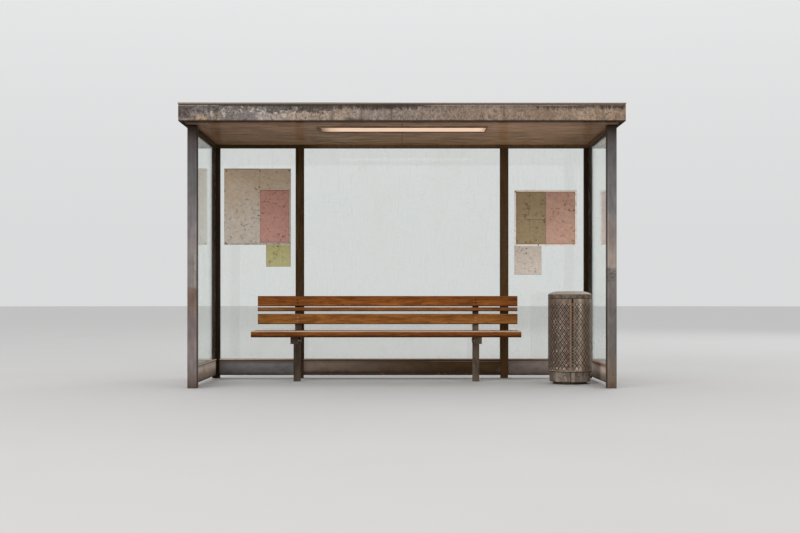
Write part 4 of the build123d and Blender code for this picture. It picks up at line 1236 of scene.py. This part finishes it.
# Painted shade where the holes are, and the metal between them painted lighter, darkest round every other
# hole.
hole_shade = past(rhythm, 0.0, 0.8) * holed
between = past(rhythm, 0.0, -0.8) * holed
tone = light_banded * (0.44 + around * 0.42 + past(fine, 0.38, 0.62) * 0.58)
tone = tone * (1 + between * 0.30 - hole_shade * 0.50 - every_other * holed * 0.90)
tone = over(past(grime, 0.54, 0.68) * 0.45, tone, (0.105, 0.072, 0.048))
strip = near(turn, 0.020, 0.046, 0.038) * past(z, 0.756, 0.750)
tone = over(strip * 0.75, tone, (0.190, 0.125, 0.080))
rusted = near(turn, 0.120, 0.055, 0.025) * past(z + (fine - 0.5) * 0.3, 0.38, 0.62)
rusted = rusted * past(z, 0.756, 0.750)
# Painted highlights: small glints on the metal, at the left and lower right.
glints = past(patches(stainless, 0.019, detail=2, roughness=0.6, seed=5.9), 0.57, 0.61)
glints_left = near(turn, -0.5, 0.55, 0.35) * past(z, 0.68, 0.56)
glints_right = near(turn, 0.32, 0.20, 0.12) * past(z, 0.44, 0.34)
glints = glints * (glints_left + glints_right)
tone = over(glints * past(every_other, 0.3, -0.3), tone, (0.420, 0.355, 0.300))
tone = over(rusted * past(fine, 0.34, 0.56) * 0.85, tone, (0.130, 0.048, 0.013))
shell_seam = near(turn, 0.118, 0.046, 0.038) * near(z, 0.735, 0.021, 0.017)
tone = over(shell_seam * 0.95, tone, (0.014, 0.009, 0.006))

# %% The bin's lid, base and rims
lid = past(z, 0.752, 0.757)
lid_tone = over(past(fine * 0.6 + around * 0.4, 0.40, 0.60), (0.062, 0.045, 0.031), (0.128, 0.097, 0.074))
tone = over(lid, tone, lid_tone)
# Painted highlight: the top of the lid, which faces the sky, is painted pale.
dome = past(z + (fine - 0.5) * 0.010, 0.789, 0.795)
tone = over(dome, tone, over(fine, (0.25, 0.210, 0.180), (0.42, 0.365, 0.325)))
rim_foot = near(z, 0.7545, 0.0045, 0.0025)
tone = over(rim_foot * 0.85, tone, (0.025, 0.017, 0.011))
shell_foot = near(z, 0.1185, 0.0040, 0.0020)
tone = over(shell_foot * 0.8, tone, (0.250, 0.205, 0.165))
base = past(z, 0.1150, 0.1140)
base_tone = over(past(fine * 0.5 + grime * 0.5, 0.40, 0.60), (0.095, 0.071, 0.055), (0.225, 0.180, 0.146))
tone = over(base, tone, base_tone)
base_shade = (past(turn, -0.70, -0.95) + near(turn, 0.30, 0.10, 0.06) * 0.6) * base
tone = over(base_shade * 0.6, tone, (0.050, 0.036, 0.026))
base_seam = near(turn, 0.036, 0.020, 0.012) * base
tone = over(base_seam * 0.85, tone, (0.020, 0.013, 0.009))
base_patch = near(turn, 0.16, 0.10, 0.06) * base
tone = over(base_patch * 0.5, tone, (0.250, 0.205, 0.165))
# Painted shade: the recessed foot under the base is nearly black.
tone = over(past(z, 0.026, 0.020) * 0.85, tone, (0.020, 0.015, 0.012))
lay(
    stainless, ["bin_base", "bin_shell", "bin_lid"],
    Base_Color=tone, Metallic=0.25, Roughness=0.50 + grime * 0.2, Specular_IOR_Level=0.2,
    Normal=relief(fine * 0.5 + grime * 0.3, 0.0006, 0.6),
)

# %% Sooty steel of the inner bucket
bucket = Finish("bin_liner_steel")
soot = patches(bucket, 0.05, (1, 1, 2), detail=4)
lay(
    bucket, ["bin_liner"],
    Base_Color=over(past(soot, 0.4, 0.65), (0.014, 0.010, 0.007), (0.040, 0.028, 0.020)),
    Roughness=0.75 + soot * 0.2, Specular_IOR_Level=0.1, Normal=relief(soot, 0.001, 0.5),
)

# %% Points on the bin's skin
PLAIN_COLUMNS, BIG_COLUMN = (1, 2, 4, 5), 3
HOLE, BIG_HOLE, WALL = 0.0058, 0.0085, 0.003
MADE_ROOM, BIG_ROOM = 0.0022, 0.0055


def on_bin(turn, height, out=0.0):
    """A point on the bin's skin, turn radians to the right of the side that faces the camera."""
    angle = to_eye + turn
    radius = bin_radius + out
    return Vector((bin_x + radius * math.sin(angle), bin_y - radius * math.cos(angle), height))


def column_turn(c):
    """Where the middle of column c is."""
    return (c - 1) * column_width + FIRST_TURN


def aside(c, k):
    """How far the edge left of column c moves at level k, in radians, to make room for the holes by it."""
    if c in (BIG_COLUMN, BIG_COLUMN + 1):
        return (-BIG_ROOM if c == BIG_COLUMN else BIG_ROOM) / bin_radius
    return MADE_ROOM / bin_radius * (-1) ** (c + k + 1)


def edge_turn(c, k):
    """Where the edge left of column c is at level k."""
    return (c - 1.5) * column_width + FIRST_TURN + aside(c, k)


def hole_rim(bm, c, height, radius, depth):
    """Eight points round a hole, from its foot."""
    rim = []
    for i in range(8):
        angle = math.radians(-90 + 45 * i)
        turn = column_turn(c) + radius * math.cos(angle) / bin_radius
        rim.append(bm.verts.new(on_bin(turn, height + radius * math.sin(angle), -depth)))
    return rim


# %% The perforated shell
def perforated_shell():
    """The shell as columns of tiles, each a ring of faces round a hole, on both faces of the wall."""
    bm = bmesh.new()
    levels = [bin_low.z] + [FIRST_ROW + PITCH / 2 * k for k in range(ROWS + 1)] + [bin_high.z]
    columns = range(COLUMNS)
    skins = []
    for depth in (0.0, WALL):
        edges, middles = (
            [[bm.verts.new(on_bin(turn_at(c, k), height, -depth)) for k, height in enumerate(levels)]
             for c in columns]
            for turn_at in (edge_turn, lambda c, k: column_turn(c))
        )
        skins.append((depth, edges, middles))
    for c in columns:
        hole_radius = BIG_HOLE if c == BIG_COLUMN else HOLE
        lowest_hole = 1 + c % 2
        k = 0
        while k < len(levels) - 1:
            in_step = k >= lowest_hole and (k - lowest_hole) % 2 == 0
            cut = c not in PLAIN_COLUMNS and in_step and k + 2 <= ROWS + 1
            top = k + 2 if cut else k + 1
            rims = []
            for depth, edges, middles in skins:
                left, right, middle = edges[c], edges[(c + 1) % COLUMNS], middles[c]
                if cut:
                    tile = [middle[k], *right[k:top + 1], middle[top], *left[k:top + 1][::-1]]
                    rims.append(hole_rim(bm, c, levels[k + 1], hole_radius, depth))
                    join_rings(bm, tile, rims[-1])
                else:
                    bm.faces.new((left[k], middle[k], middle[top], left[top]))
                    bm.faces.new((middle[k], right[k], right[top], middle[top]))
            if cut:
                join_rings(bm, *rims)
            k = top
    return bm


hang("perforated_shell", perforated_shell(), stainless, ["bin_shell"], smooth=30)

# %% Rims and rivets of the bin
RIM_SECTION = [(-0.0035, -0.0030), (0.0, -0.0030), (-0.0004, 0.0030), (-0.0035, 0.0030)]
RIM_STEPS = 96
trim = bmesh.new()
for height in (bin_high.z - 0.001, bin_low.z - 0.002):
    rings = [
        [trim.verts.new(on_bin(math.tau * i / RIM_STEPS, height + b, a)) for a, b in RIM_SECTION]
        for i in range(RIM_STEPS)
    ]
    for i in range(RIM_STEPS):
        join_rings(trim, rings[i - 1], rings[i])
RIVET = [(0.0, -0.003), (0.0055, -0.0030), (0.0055, -0.0012), (0.0036, -0.0003), (0.0, 0.0)]
RIVET_HEIGHT = 0.772
RIVET_TURNS = (-0.017, 0.188, math.pi - 0.04, math.pi + 0.05, math.pi / 2, -math.pi / 2)
for rivet_turn in RIVET_TURNS:
    where = on_bin(rivet_turn, RIVET_HEIGHT)
    away = Vector((where.x - bin_x, where.y - bin_y, 0)).normalized()
    turned(trim, RIVET, where, away, steps=10)
hang("bin_trim", trim, rubber, smooth=50)
